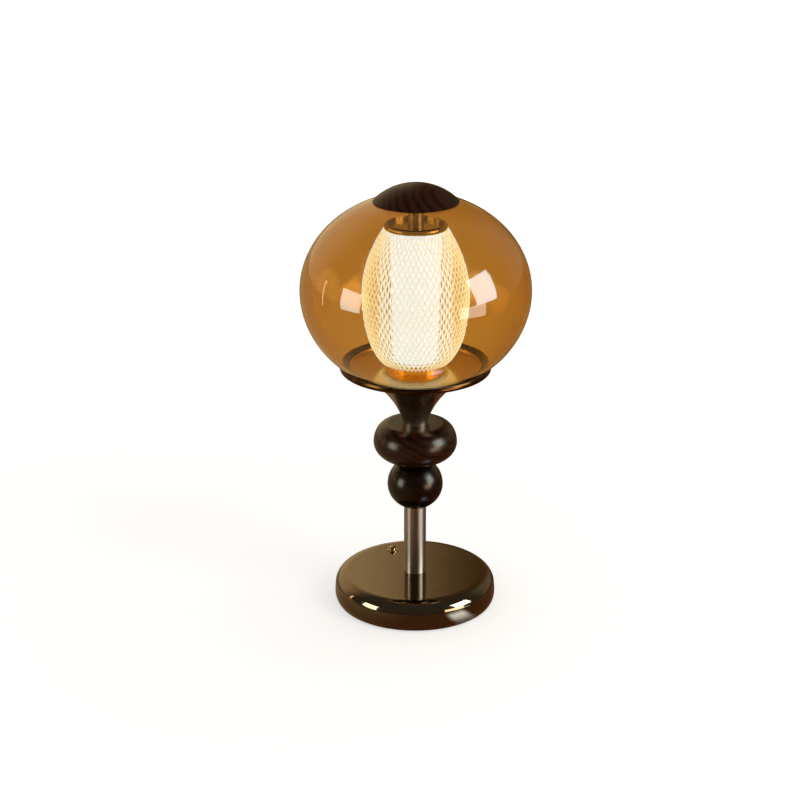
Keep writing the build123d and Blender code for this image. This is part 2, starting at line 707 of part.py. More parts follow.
def upper_bead():
    """Wide wooden bead like a flattened ring, with a flat top for the trumpet."""
    belly = LOWER_BEAD_TOP + UPPER_BEAD_HEIGHT / 2
    half = UPPER_BEAD_HEIGHT / 2
    lower = ellipse_arc((UPPER_BEAD_FOOT_FLAT, belly), UPPER_BEAD_RADIUS - UPPER_BEAD_FOOT_FLAT, half, -90, 0)
    upper = ellipse_arc((UPPER_BEAD_TOP_FLAT, belly), UPPER_BEAD_RADIUS - UPPER_BEAD_TOP_FLAT, half, 0, 90)
    bore = [(ROD_HOLE, UPPER_BEAD_TOP), (ROD_HOLE, LOWER_BEAD_TOP)]
    return turned([lower, upper, Polyline(upper @ 1, *bore, lower @ 0)])


# Trumpet and dish


def flare(foot_radius, top_radius):
    """Trumpet curve that opens as a power of its height."""
    steps = (0.0, 0.2, 0.4, 0.6, 0.8, 1.0)
    rise = top_radius - foot_radius
    points = [
        (foot_radius + rise * step**FLARE_POWER, UPPER_BEAD_TOP + TRUMPET_HEIGHT * step) for step in steps
    ]
    return Spline(*points, tangents=[(0, 1), (rise * FLARE_POWER, TRUMPET_HEIGHT)])


def trumpet_neck():
    """Spun trumpet that carries the dish, closed at its foot round the rod."""
    outer = flare(TRUMPET_FOOT_RADIUS, TRUMPET_TOP_RADIUS)
    inner = flare(TRUMPET_FOOT_RADIUS - TRUMPET_WALL, TRUMPET_TOP_RADIUS - TRUMPET_WALL)
    wall = turned([outer, Line(outer @ 1, inner @ 1), inner, Line(inner @ 0, outer @ 0)])
    floor_radius = TRUMPET_FOOT_RADIUS - TRUMPET_WALL / 2
    return wall + ring(ROD_HOLE, floor_radius, UPPER_BEAD_TOP, UPPER_BEAD_TOP + 2 * TRUMPET_WALL)


def dish():
    """Shallow metal dish: mirror floor, ledge for the glass, and a low lip outside it."""
    lip_inner = DISH_RADIUS - DISH_LIP_WIDTH
    lip_top = LEDGE + DISH_LIP_HEIGHT
    rebate_radius = TRUMPET_TOP_RADIUS - TRUMPET_WALL - CLEARANCE
    rim_widest = (DISH_RADIUS, DISH_UNDERSIDE + DISH_RIM_WIDEST)
    rim_foot = (DISH_RADIUS - DISH_RIM_ROUND, DISH_UNDERSIDE + DISH_RIM_LIFT)
    rim_top = (lip_inner + DISH_LIP_WIDTH / 2, lip_top)
    return turned(
        [
            Polyline(
                (ROD_HOLE, DISH_UNDERSIDE + DISH_REBATE),
                (rebate_radius - DISH_REBATE, DISH_UNDERSIDE + DISH_REBATE),
                (rebate_radius, DISH_UNDERSIDE),
                (TRUMPET_TOP_RADIUS + CLEARANCE, DISH_UNDERSIDE),
                rim_foot,
            ),
            TangentArc(rim_widest, rim_foot, tangent=(0, -1)),
            TangentArc(rim_widest, rim_top, tangent=(0, 1)),
            Polyline(
                rim_top,
                (lip_inner, lip_top),
                (lip_inner, LEDGE),
                (LEDGE_INNER_RADIUS + LEDGE_CHAMFER, LEDGE),
                (LEDGE_INNER_RADIUS, LEDGE - LEDGE_CHAMFER),
                (LEDGE_INNER_RADIUS, DISH_FLOOR),
                (ROD_HOLE, DISH_FLOOR),
                (ROD_HOLE, DISH_UNDERSIDE + DISH_REBATE),
            ),
        ]
    )


# Glass


def globe_seal():
    """Soft ring between the dish's ledge and the glass."""
    inner = LEDGE_INNER_RADIUS + LEDGE_CHAMFER + CLEARANCE
    return ring(inner, DISH_RADIUS - DISH_LIP_WIDTH - CLEARANCE, LEDGE, GLOBE_BOTTOM)


def globe_outline(inset):
    """The globe's lower and upper quarter ellipses, moved inwards by a wall thickness."""
    radius = GLOBE_RADIUS - inset
    depth = GLOBE_DEPTH - inset
    rise = GLOBE_RISE - inset
    mouth = -degrees(asin((GLOBE_EQUATOR - GLOBE_BOTTOM) / depth))
    hole = 90 - degrees(asin(GLOBE_HOLE_RADIUS / radius))
    centre = (0, GLOBE_EQUATOR)
    return ellipse_arc(centre, radius, depth, mouth, 0), ellipse_arc(centre, radius, rise, 0, hole)


def glass_globe():
    """Blown amber globe, wider than tall, open at the mouth and at the top hole."""
    outer_low, outer_high = globe_outline(0)
    inner_low, inner_high = globe_outline(GLASS_THICKNESS)
    return turned(
        [
            outer_low,
            outer_high,
            Line(outer_high @ 1, inner_high @ 1),
            inner_high,
            inner_low,
            Line(inner_low @ 0, outer_low @ 0),
        ]
    )


# Light


def seat_cup():
    """Turned cup on the dish that carries the barrel and hides the rod's upper nut."""
    bore = CUP_RADIUS - CUP_WALL
    spigot = BARREL_FOOT_RADIUS - BARREL_WALL - CLEARANCE
    flange_low = BARREL_SEAT - CUP_FLANGE_HEIGHT
    return turned_outline(
        (ROD_HOLE, DISH_FLOOR),
        (CUP_RADIUS, DISH_FLOOR),
        (CUP_RADIUS, flange_low),
        (CUP_FLANGE_RADIUS, flange_low),
        (CUP_FLANGE_RADIUS, BARREL_SEAT),
        (spigot, BARREL_SEAT),
        (spigot, HOLDER_SEAT),
        (bore, HOLDER_SEAT),
        (bore, DISH_FLOOR + CUP_FLOOR),
        (ROD_HOLE, DISH_FLOOR + CUP_FLOOR),
    )


def gallery_nut():
    """Nut inside the cup that clamps cup, dish, trumpet, beads and column to the base."""
    low = DISH_FLOOR + CUP_FLOOR
    return hexagon_nut(NUT_RADIUS, ROD_HOLE, low, low + NUT_HEIGHT)


def tube_holder():
    """Disc on the cup that centres the opal tube and the heat sink on the rod."""
    spigot = TUBE_RADIUS - TUBE_WALL - FIT
    top = TUBE_SEAT + HOLDER_SPIGOT
    holder = turned_outline(
        (ROD_HOLE, HOLDER_SEAT),
        (TUBE_RADIUS, HOLDER_SEAT),
        (TUBE_RADIUS, TUBE_SEAT),
        (spigot, TUBE_SEAT),
        (spigot, top),
        (spigot - SKIRT_WALL, top),
        (spigot - SKIRT_WALL, TUBE_SEAT),
        (SINK_ACROSS_FLATS / 2, TUBE_SEAT),
        (SINK_ACROSS_FLATS / 2, SINK_BOTTOM),
        (SINK_BORE, SINK_BOTTOM),
        (SINK_BORE, TUBE_SEAT),
        (ROD_HOLE, TUBE_SEAT),
    )
    return holder


def opal_tube():
    """Opal tube that the light's boards shine through."""
    return ring(TUBE_RADIUS - TUBE_WALL, TUBE_RADIUS, TUBE_SEAT, BARREL_TOP)


def heat_sink():
    """Six-sided aluminium column that carries the light's boards."""
    corner = SINK_ACROSS_FLATS / 2 / cos(pi / 6)
    column = Pos(0, 0, SINK_BOTTOM) * extrude(RegularPolygon(corner, 6), SINK_TOP - SINK_BOTTOM)
    return column - rod_about(0, 0, SINK_BORE, SINK_BOTTOM, SINK_TOP)


def led_boards():
    """Six boards, one on each face of the heat sink."""
    half = LED_BOARD_WIDTH / 2
    face = SINK_ACROSS_FLATS / 2
    heights = (SINK_BOTTOM + LED_BOARD_MARGIN, SINK_TOP - LED_BOARD_MARGIN)
    board = block((face, face + LED_BOARD_THICKNESS), (-half, half), heights)
    return Compound([Rot(0, 0, 30 + 60 * side) * board for side in range(6)])


def led_chips():
    """Row of light chips down each board."""
    face = SINK_ACROSS_FLATS / 2 + LED_BOARD_THICKNESS
    low = SINK_BOTTOM + LED_BOARD_MARGIN
    pitch = (SINK_TOP - LED_BOARD_MARGIN - low) / LED_CHIPS
    half = LED_CHIP_SIZE / 2
    chips = []
    for side in range(6):
        for step in range(LED_CHIPS):
            middle = low + pitch * (step + 0.5)
            chip = block((face, face + LED_CHIP_HEIGHT), (-half, half), (middle - half, middle + half))
            chips.append(Rot(0, 0, 30 + 60 * side) * chip)
    return Compound(chips)


def barrel_radius(height):
    """Barrel's radius at a height above its seat: an elliptical bowl under a parabolic shoulder."""
    if height <= BARREL_BELLY:
        share = 1 - height / BARREL_BELLY
        return BARREL_FOOT_RADIUS + (BARREL_RADIUS - BARREL_FOOT_RADIUS) * (1 - share**2) ** BARREL_BOWL
    share = (height - BARREL_BELLY) / (BARREL_HEIGHT - BARREL_BELLY)
    return BARREL_TOP_RADIUS + (BARREL_RADIUS - BARREL_TOP_RADIUS) * (1 - share**2)


def barrel_outline():
    """The barrel's outline, from its seat to its top, sampled closer together near both ends."""
    samples = 16
    heights = [BARREL_HEIGHT * (1 - cos(pi * step / samples)) / 2 for step in range(samples + 1)]
    return Spline(*[(barrel_radius(height), BARREL_SEAT + height) for height in heights])


def barrel_bore(outline):
    """Solid that fills the barrel's smooth inside, one wall thickness in from its outline."""
    samples = 12
    inner = []
    for step in range(1, samples + 1):
        point, along = outline @ (step / samples), outline % (step / samples)
        inner.append(point + Vector(-along.Y, along.X) * BARREL_WALL)
    mouth = BARREL_FOOT_RADIUS - BARREL_WALL
    curve = Spline((mouth, BARREL_SEAT + BARREL_WALL), *inner)
    over = BARREL_TOP + BARREL_WALL
    top = (curve @ 1).X
    walls = Polyline(curve @ 1, (top, over), (0, over), (0, BARREL_SEAT), (mouth, BARREL_SEAT), curve @ 0)
    return turned([curve, walls])


def diamond_barrel():
    """Clear barrel, smooth inside, cut outside by two crossing sets of spiral grooves.

    Each space between the grooves is a small raised diamond: four facets that meet at a point.
    """
    half_pitch = pi / DIAMONDS_AROUND
    outline = barrel_outline()
    spacing = outline.length / DIAMOND_ROWS
    rings = [outline.position_at(row * spacing, PositionMode.LENGTH) for row in range(DIAMOND_ROWS + 1)]

    def point(row, step, relief=0.0):
        """Point on a ring, counted in half diamonds round the barrel."""
        radius = rings[row].X + relief
        return Vector(radius * cos(half_pitch * step), radius * sin(half_pitch * step), rings[row].Y)

    facets = []
    for end, inside in ((0, 1), (DIAMOND_ROWS, DIAMOND_ROWS - 1)):
        steps = range(end, end + 2 * DIAMONDS_AROUND, 2)
        facets.append([point(end, step) for step in steps])
        facets += [[point(end, step), point(end, step + 2), point(inside, step + 1)] for step in steps]
    for row in range(1, DIAMOND_ROWS):
        for step in range(row + 1, row + 1 + 2 * DIAMONDS_AROUND, 2):
            peak = point(row, step, DIAMOND_RELIEF)
            corners = [point(row - 1, step), point(row, step + 1), point(row + 1, step), point(row, step - 1)]
            for first, second in zip(corners, corners[1:] + corners[:1]):
                facets.append([first, second, peak])
    shell = Shell([Face(Wire.make_polygon(corners, close=True)) for corners in facets])
    return Solid(shell) - barrel_bore(outline)


def barrel_ring():
    """Rounded metal ring over the barrel, with a sunk floor round the rod and a skirt in the tube."""
    hub = SINK_ACROSS_FLATS / 2
    skirt = TUBE_RADIUS - TUBE_WALL - FIT
    skirt_low = BARREL_TOP - RING_SKIRT
    floor = BARREL_TOP + RING_FLOOR
    foot = (RING_RADIUS - RING_UNDERCUT, BARREL_TOP)
    widest = (RING_RADIUS, BARREL_TOP + RING_WIDEST)
    crest_centre = (RING_CREST_RADIUS, BARREL_TOP + RING_WIDEST)
    shoulder = ellipse_arc(
        crest_centre, RING_RADIUS - RING_CREST_RADIUS, RING_HEIGHT - RING_WIDEST, 0, 90
    )
    return turned(
        [
            Polyline(
                (ROD_HOLE, skirt_low),
                (hub, skirt_low),
                (hub, BARREL_TOP),
                (skirt - SKIRT_WALL, BARREL_TOP),
                (skirt - SKIRT_WALL, skirt_low),
                (skirt, skirt_low),
                (skirt, BARREL_TOP),
                foot,
            ),
            TangentArc(widest, foot, tangent=(0, -1)),
            shoulder,
            Polyline(
                shoulder @ 1,
                (RING_INNER_RADIUS, RING_TOP),
                (RING_INNER_RADIUS, floor),
                (ROD_HOLE, floor),
                (ROD_HOLE, skirt_low),
            ),
        ]
    )


def spacer_sleeve():
    """Polished sleeve nut that clamps the ring and shows between the ring and the cap."""
    return ring(ROD_HOLE, SLEEVE_RADIUS, BARREL_TOP + RING_FLOOR, CAP_PLUG_BOTTOM - CLEARANCE)


# Cap


def under_cap(radius, gap):
    """Point on the cap's underside, which follows the glass at a small gap."""
    return (radius, glass_top(radius) + gap)


def wood_cap():
    """Lens-shaped wooden cap, hollowed below to sit on the glass and plug its hole."""
    plug = GLOBE_HOLE_RADIUS - CLEARANCE
    groove = CLEARANCE + CUSHION_THICKNESS
    insert_top = CAP_PLUG_BOTTOM + INSERT_HEIGHT
    edge_top = (CAP_RADIUS, CAP_EDGE_HEIGHT + CAP_EDGE)
    return turned(
        [
            Polyline(
                (0, insert_top),
                (INSERT_RADIUS, insert_top),
                (INSERT_RADIUS, CAP_PLUG_BOTTOM),
                (plug, CAP_PLUG_BOTTOM),
                (plug, glass_top(plug) + CLEARANCE),
                under_cap(CUSHION_INNER, CLEARANCE),
                under_cap(CUSHION_INNER, groove),
                under_cap(CUSHION_OUTER, groove),
                under_cap(CUSHION_OUTER, CLEARANCE),
                under_cap(CAP_RADIUS, CLEARANCE),
                edge_top,
            ),
            TangentArc((0, CAP_TOP), edge_top, tangent=(1, 0)),
            Line((0, CAP_TOP), (0, insert_top)),
        ]
    )


def cap_insert():
    """Blind brass thread pressed into the cap."""
    top = CAP_PLUG_BOTTOM + INSERT_HEIGHT
    return turned_outline(
        (ROD_HOLE, CAP_PLUG_BOTTOM),
        (INSERT_RADIUS, CAP_PLUG_BOTTOM),
        (INSERT_RADIUS, top),
        (0, top),
        (0, top - INSERT_END_WALL),
        (ROD_HOLE, top - INSERT_END_WALL),
    )


def cap_cushion():
    """Soft ring in the cap's groove that presses on the glass and lifts off with the cap."""
    groove = CLEARANCE + CUSHION_THICKNESS
    inner, outer = CUSHION_INNER + FIT, CUSHION_OUTER - FIT
    return turned_outline(
        under_cap(inner, FIT),
        under_cap(outer, FIT),
        under_cap(outer, groove - FIT),
        under_cap(inner, groove - FIT),
    )


PARTS = [
    base_shell,
    bottom_cover,
    cover_screws,
    foot_ring,
    base_weight,
    battery_tray,
    battery_cells,
    battery_contacts,
    battery_lead,
    control_board,
    board_screws,
    board_components,
    usb_socket,
    socket_tongue,
    port_bezel,
    switch_body,
    switch_nut,
    switch_button,
    switch_spring,
    switch_lead,
    base_washer,
    base_nut,
    centre_rod,
    stem_tube,
    stem_bushes,
    lower_bead,
    upper_bead,
    trumpet_neck,
    dish,
    globe_seal,
    glass_globe,
    seat_cup,
    gallery_nut,
    tube_holder,
    heat_sink,
    led_boards,
    led_chips,
    lamp_lead,
    opal_tube,
    diamond_barrel,
    barrel_ring,
    spacer_sleeve,
    cap_cushion,
    cap_insert,
    wood_cap,
]


def main():
    """Write each piece to its own file."""
    os.makedirs("parts", exist_ok=True)
    for make in PARTS:
        export_step(make(), f"parts/{make.__name__}.step")


main()
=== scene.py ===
"""Cordless table lamp, dressed for rendering over its packed construction model.

Everything is in metres, in the construction model's own frame: the origin is on the lamp's axis
at table level, +Z is up, +X is right and +Y is the rear. The construction nodes keep their
shape and get finishes here. Two pieces are built here: the net of fine light lines that the cut
grooves of the clear barrel show when the light is on, and the switch's return spring, which the
button squeezes.
"""

from __future__ import annotations

import logging
import math
from dataclasses import dataclass
from enum import Enum
from typing import Any

import bpy
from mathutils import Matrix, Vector

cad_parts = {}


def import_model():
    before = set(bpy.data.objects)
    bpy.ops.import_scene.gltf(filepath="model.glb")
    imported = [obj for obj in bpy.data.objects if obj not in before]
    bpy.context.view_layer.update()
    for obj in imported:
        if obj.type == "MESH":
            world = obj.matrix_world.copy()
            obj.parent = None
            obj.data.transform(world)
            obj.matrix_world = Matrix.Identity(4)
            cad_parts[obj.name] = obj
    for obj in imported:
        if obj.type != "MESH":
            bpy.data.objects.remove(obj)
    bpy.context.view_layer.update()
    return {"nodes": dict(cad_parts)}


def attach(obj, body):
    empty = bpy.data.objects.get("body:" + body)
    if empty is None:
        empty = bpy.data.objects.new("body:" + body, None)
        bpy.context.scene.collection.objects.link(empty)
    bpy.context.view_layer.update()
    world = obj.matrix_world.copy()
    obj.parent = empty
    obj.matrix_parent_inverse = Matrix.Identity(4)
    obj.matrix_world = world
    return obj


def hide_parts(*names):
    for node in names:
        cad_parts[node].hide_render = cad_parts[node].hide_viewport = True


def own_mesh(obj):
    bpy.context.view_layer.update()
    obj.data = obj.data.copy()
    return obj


Tree = bpy.types.NodeTree
Node = bpy.types.Node
Socket = bpy.types.NodeSocket

LOG = logging.getLogger("table_lamp")
MM = 0.001
SMOOTH = {"interpolation_type": "SMOOTHSTEP"}
COLOURS = {"data_type": "RGBA"}
NUMBERS = {"data_type": "FLOAT"}
TIMES = {"operation": "MULTIPLY"}
WITHOUT_HEIGHT = (1.0, 1.0, 0.0)
WHITE = "FFFFFF"
SEEN_THROUGH_GLASS = "DCBB7C"


def linear(colour: str) -> tuple[float, float, float, float]:
    """Turn an sRGB hex colour to Blender's linear values.

    Args:
        colour: Six hex digits, such as "70583E".

    Returns:
        Linear red, green, blue and an alpha of 1.
    """
    channels = [int(colour[at : at + 2], 16) / 255 for at in (0, 2, 4)]
    red, green, blue = (c / 12.92 if c <= 0.04045 else ((c + 0.055) / 1.055) ** 2.4 for c in channels)
    return red, green, blue, 1.0


def add_node(
    tree: Tree,
    kind: str,
    settings: dict[str, Any] | None = None,
    inputs: dict[str | int, Any] | None = None,
) -> Node:
    """Add one node with its settings, values and links.

    Args:
        tree: Node tree that the node goes into.
        kind: Blender's type name of the node, after its "ShaderNode".
        settings: Property names with their values, or "stops" with a ramp's colours.
        inputs: Input names or numbers, each with a value or the output that feeds it.

    Returns:
        The new node.
    """
    node = tree.nodes.new(f"ShaderNode{kind}")
    for name, value in (settings or {}).items():
        if name == "stops":
            set_stops(node.color_ramp, value)
        else:
            setattr(node, name, value)
    for key, value in (inputs or {}).items():
        if isinstance(value, Socket):
            tree.links.new(value, node.inputs[key])
        else:
            node.inputs[key].default_value = value
    return node


def set_stops(ramp: bpy.types.ColorRamp, stops: dict[float, str]) -> None:
    """Set the colours of a ramp.

    Args:
        ramp: The ramp, which has two stops to start with.
        stops: Positions from 0 to 1, each with an sRGB hex colour.
    """
    while len(ramp.elements) < len(stops):
        ramp.elements.new(0.5)
    for element, (position, colour) in zip(ramp.elements, sorted(stops.items())):
        element.position = position
        element.color = linear(colour)


def let_lamps_through(tree: Tree, shader: Node, tint: str) -> None:
    """Give the lamps a straight, tinted way through a clear wall, so that they light what is behind it.

    Args:
        tree: The material's node tree.
        shader: Shader that every other ray meets.
        tint: Colour that light takes at each of the wall's two faces, as sRGB hex.
    """
    rays = add_node(tree, "LightPath").outputs
    clear = add_node(tree, "BsdfTransparent", inputs={"Color": linear(tint)})
    wall = add_node(
        tree,
        "MixShader",
        inputs={"Fac": rays["Is Shadow Ray"], 1: shader.outputs["BSDF"], 2: clear.outputs["BSDF"]},
    )
    tree.links.new(wall.outputs["Shader"], tree.nodes["Material Output"].inputs["Surface"])


def show_by_ray(tree: Tree, rays: Node, shaders: tuple[Node, ...], output: str) -> None:
    """Show one shader to each kind of ray.

    Args:
        tree: Node tree that the nodes go into.
        rays: Light Path node.
        shaders: What diffuse rays, glossy rays, rays through glass and the camera see.
        output: Type name of the tree's output node, after its "ShaderNode".
    """
    shown = shaders[0].outputs[0]
    for kind, shader in zip(("Is Glossy Ray", "Is Transmission Ray", "Is Camera Ray"), shaders[1:]):
        mixed = add_node(
            tree, "MixShader", inputs={"Fac": rays.outputs[kind], 1: shown, 2: shader.outputs[0]}
        )
        shown = mixed.outputs[0]
    add_node(tree, output, inputs={"Surface": shown})


def sweep_line(
    path: list[Vector],
    radius: float,
    sides: int,
    vertices: list[Vector],
    faces: list[tuple[int, ...]],
) -> None:
    """Add one round line along a path that winds about the upright axis, closed at both ends.

    Args:
        path: Points of its middle, in metres.
        radius: Radius of the line, in metres.
        sides: Number of its sides.
        vertices: Vertices so far, which the line's are added to.
        faces: Faces so far, which the line's are added to.
    """
    first = len(vertices)
    for at, point in enumerate(path):
        ahead = path[min(at + 1, len(path) - 1)] - path[max(at - 1, 0)]
        outward = Vector((point.x, point.y, 0)).normalized()
        side = ahead.cross(outward).normalized()
        outward = side.cross(ahead).normalized()
        for corner in range(sides):
            angle = 2 * math.pi * corner / sides
            vertices.append(point + (outward * math.cos(angle) + side * math.sin(angle)) * radius)
    for at in range(len(path) - 1):
        low = first + at * sides
        for corner in range(sides):
            after = (corner + 1) % sides
            faces.append((low + corner, low + after, low + sides + after, low + sides + corner))
    faces.append(tuple(range(first, first + sides)))
    last = first + (len(path) - 1) * sides
    faces.append(tuple(reversed(range(last, last + sides))))


@dataclass(frozen=True)
class Finish:
    """A plain finish: one colour with the slight unevenness that every real surface has."""

    name: str
    colour: str
    roughness: float
    metallic: float = 0.0
    ior: float = 1.5
    mottle_mm: float = 3.0
    mottle: float = 0.04
    bump_mm: float = 0.0
    bump_strength: float = 0.35
    bump_height_share: float = 1 / 6

    def build(self) -> bpy.types.Material:
        """Make the material and its node tree.

        Returns:
            The material.
        """
        material = bpy.data.materials.new(self.name)
        material.use_nodes = True
        tree = material.node_tree
        shader = tree.nodes["Principled BSDF"]
        shader.inputs["Base Color"].default_value = linear(self.colour)
        shader.inputs["Roughness"].default_value = self.roughness
        shader.inputs["Metallic"].default_value = self.metallic
        shader.inputs["IOR"].default_value = self.ior
        place = add_node(tree, "TexCoord").outputs["Object"]
        self.pattern(tree, shader, place)
        return material

    def pattern(self, tree: Tree, shader: Node, place: Socket) -> None:
        """Vary the roughness a little, and raise a fine texture where the finish has one.

        Args:
            tree: The material's node tree.
            shader: Its principled shader.
            place: Coordinates on the lamp, in metres.
        """
        cloud = add_node(
            tree,
            "TexNoise",
            inputs={"Vector": place, "Scale": 1 / (self.mottle_mm * MM), "Detail": 3.0},
        )
        tree.links.new(self.uneven(tree, cloud.outputs["Fac"]), shader.inputs["Roughness"])
        if self.bump_mm:
            grain = add_node(
                tree,
                "TexNoise",
                inputs={"Vector": place, "Scale": 1 / (self.bump_mm * MM), "Detail": 2.0},
            )
            raised = add_node(
                tree,
                "Bump",
                inputs={
                    "Height": grain.outputs["Fac"],
                    "Strength": self.bump_strength,
                    "Distance": self.bump_mm * MM * self.bump_height_share,
                },
            )
            tree.links.new(raised.outputs["Normal"], shader.inputs["Normal"])

    def uneven(self, tree: Tree, cloud: Socket) -> Socket:
        """Let a pattern vary the roughness about its mean.

        Args:
            tree: The material's node tree.
            cloud: Pattern from 0 to 1.

        Returns:
            The uneven roughness.
        """
        varied = add_node(
            tree,
            "MapRange",
            inputs={
                "Value": cloud,
                "To Min": max(0.0, self.roughness - self.mottle),
                "To Max": self.roughness + self.mottle,
            },
        )
        return varied.outputs["Result"]


@dataclass(frozen=True)
class PlatedBronze(Finish):
    """Dark bronze plating over turned and polished brass: a brown mirror with faint wiping marks."""

    wipe_mm: float = 14.0
    olive: str = "77694F"
    # Painted glow: emission on a piece that is no lamp, standing for light that falls on it.
    glow: str = "000000"
    painted_glow_strength: float = 0.0

    def pattern(self, tree: Tree, shader: Node, place: Socket) -> None:
        """Cloud the polish, shift the plating between olive and red brown, and pass on any painted glow.

        Args:
            tree: The material's node tree.
            shader: Its principled shader.
            place: Coordinates on the lamp, in metres.
        """
        # Painted glow: emission that stands for light falling on the piece.
        shader.inputs["Emission Color"].default_value = linear(self.glow)
        shader.inputs["Emission Strength"].default_value = self.painted_glow_strength
        cloud = add_node(
            tree,
            "TexNoise",
            inputs={"Vector": place, "Scale": 1 / (self.wipe_mm * MM), "Detail": 2.0},
        ).outputs["Fac"]
        rubbed = self.rub(tree, place, self.uneven(tree, cloud))
        tree.links.new(rubbed, shader.inputs["Roughness"])
        tint = add_node(tree, "ValToRGB", {"stops": {0.3: self.olive, 0.7: self.colour}}, {"Fac": cloud})
        tree.links.new(self.plate(tree, place, tint.outputs["Color"]), shader.inputs["Base Color"])

    def rub(self, tree: Tree, place: Socket, polish: Socket) -> Socket:
        """Leave the polish as it is, unless a kind of plating is rubbed."""
        return polish

    def plate(self, tree: Tree, place: Socket, bronze: Socket) -> Socket:
        """Leave the plating as it is, unless a kind of plating has more colours."""
        return bronze


@dataclass(frozen=True)
class RubbedBronze(PlatedBronze):
    """Bronze plating rubbed dull where a hand takes hold of the neck, and polished above."""

    dull: float = 0.36
    dull_mm: float = 180.0
    polished_mm: float = 200.0

    def rub(self, tree: Tree, place: Socket, polish: Socket) -> Socket:
        """Ease the roughness from the dull foot to the polished flare.

        Args:
            tree: The material's node tree.
            place: Coordinates on the lamp, in metres.
            polish: Roughness of the polished plating.

        Returns:
            Roughness all over the piece.
        """
        height = add_node(tree, "SeparateXYZ", inputs={"Vector": place}).outputs["Z"]
        share = add_node(
            tree,
            "MapRange",
            SMOOTH,
            {"Value": height, "From Min": self.dull_mm * MM, "From Max": self.polished_mm * MM},
        )
        rubbed = add_node(
            tree, "Mix", NUMBERS, {"Factor": share.outputs["Result"], 2: self.dull, 3: polish}
        )
        return rubbed.outputs[0]


@dataclass(frozen=True)
class DishPlating(PlatedBronze):
    """Bronze plating outside. Under the glass, a ledge darkened as painted shade, round a floor paled as
    painted light from the barrel above, which it mirrors back up.
    """

    # The floor colour is painted light from the barrel above. The ledge colour is painted shade.
    floor: str = "DFC88F"
    painted_shade_ledge: str = "4A2E14"
    floor_mm: float = 58.0
    floor_height_mm: float = 221.0

    def plate(self, tree: Tree, place: Socket, bronze: Socket) -> Socket:
        """Keep the bronze below, and above lay the ledge, darker as painted shade, and the floor inside
        it, paler as painted light.

        Args:
            tree: The material's node tree.
            place: Coordinates on the lamp, in metres.
            bronze: Colour of the bronze plating.

        Returns:
            Colour all over the piece.
        """
        flat = add_node(tree, "VectorMath", TIMES, {0: place, 1: WITHOUT_HEIGHT}).outputs["Vector"]
        reach = add_node(tree, "VectorMath", {"operation": "LENGTH"}, {0: flat}).outputs["Value"]
        inside = add_node(tree, "Math", {"operation": "LESS_THAN"}, {0: reach, 1: self.floor_mm * MM})
        height = add_node(tree, "SeparateXYZ", inputs={"Vector": place}).outputs["Z"]
        floor_height = self.floor_height_mm * MM
        above = add_node(tree, "Math", {"operation": "GREATER_THAN"}, {0: height, 1: floor_height})
        share = add_node(tree, "Math", TIMES, {0: inside.outputs[0], 1: above.outputs[0]})
        # Painted shade on the ledge above the floor's height, and painted light on the floor inside it.
        outside = add_node(
            tree, "Mix", COLOURS, {"Factor": above.outputs[0], 6: bronze, 7: linear(self.painted_shade_ledge)}
        )
        tint = add_node(
            tree,
            "Mix",
            COLOURS,
            {"Factor": share.outputs[0], 6: outside.outputs[2], 7: linear(self.floor)},
        )
        return tint.outputs[2]


@dataclass(frozen=True)
class TurnedTube(Finish):
    """A polished tube, whose fine marks run round it and stretch highlights upwards."""

    stretch: float = 0.85
    quarter_turn: float = 0.25
    # Real marks are finer. These are as coarse as they need to show.
    mark_mm: float = 0.5
    mark_length_mm: float = 25.0

    def pattern(self, tree: Tree, shader: Node, place: Socket) -> None:
        """Stretch the gloss along the tube and add the marks.

        Args:
            tree: The material's node tree.
            shader: Its principled shader.
            place: Coordinates on the lamp, in metres.
        """
        along = add_node(tree, "Tangent", {"direction_type": "RADIAL", "axis": "Z"})
        shader.inputs["Anisotropic"].default_value = self.stretch
        shader.inputs["Anisotropic Rotation"].default_value = self.quarter_turn
        tree.links.new(along.outputs["Tangent"], shader.inputs["Tangent"])
        across = 1 / (self.mark_length_mm * MM)
        upward = 1 / (self.mark_mm * MM)
        squeezed = add_node(tree, "Mapping", inputs={"Vector": place, "Scale": (across, across, upward)})
        marks = add_node(tree, "TexNoise", inputs={"Vector": squeezed.outputs["Vector"], "Scale": 1.0})
        tree.links.new(self.uneven(tree, marks.outputs["Fac"]), shader.inputs["Roughness"])


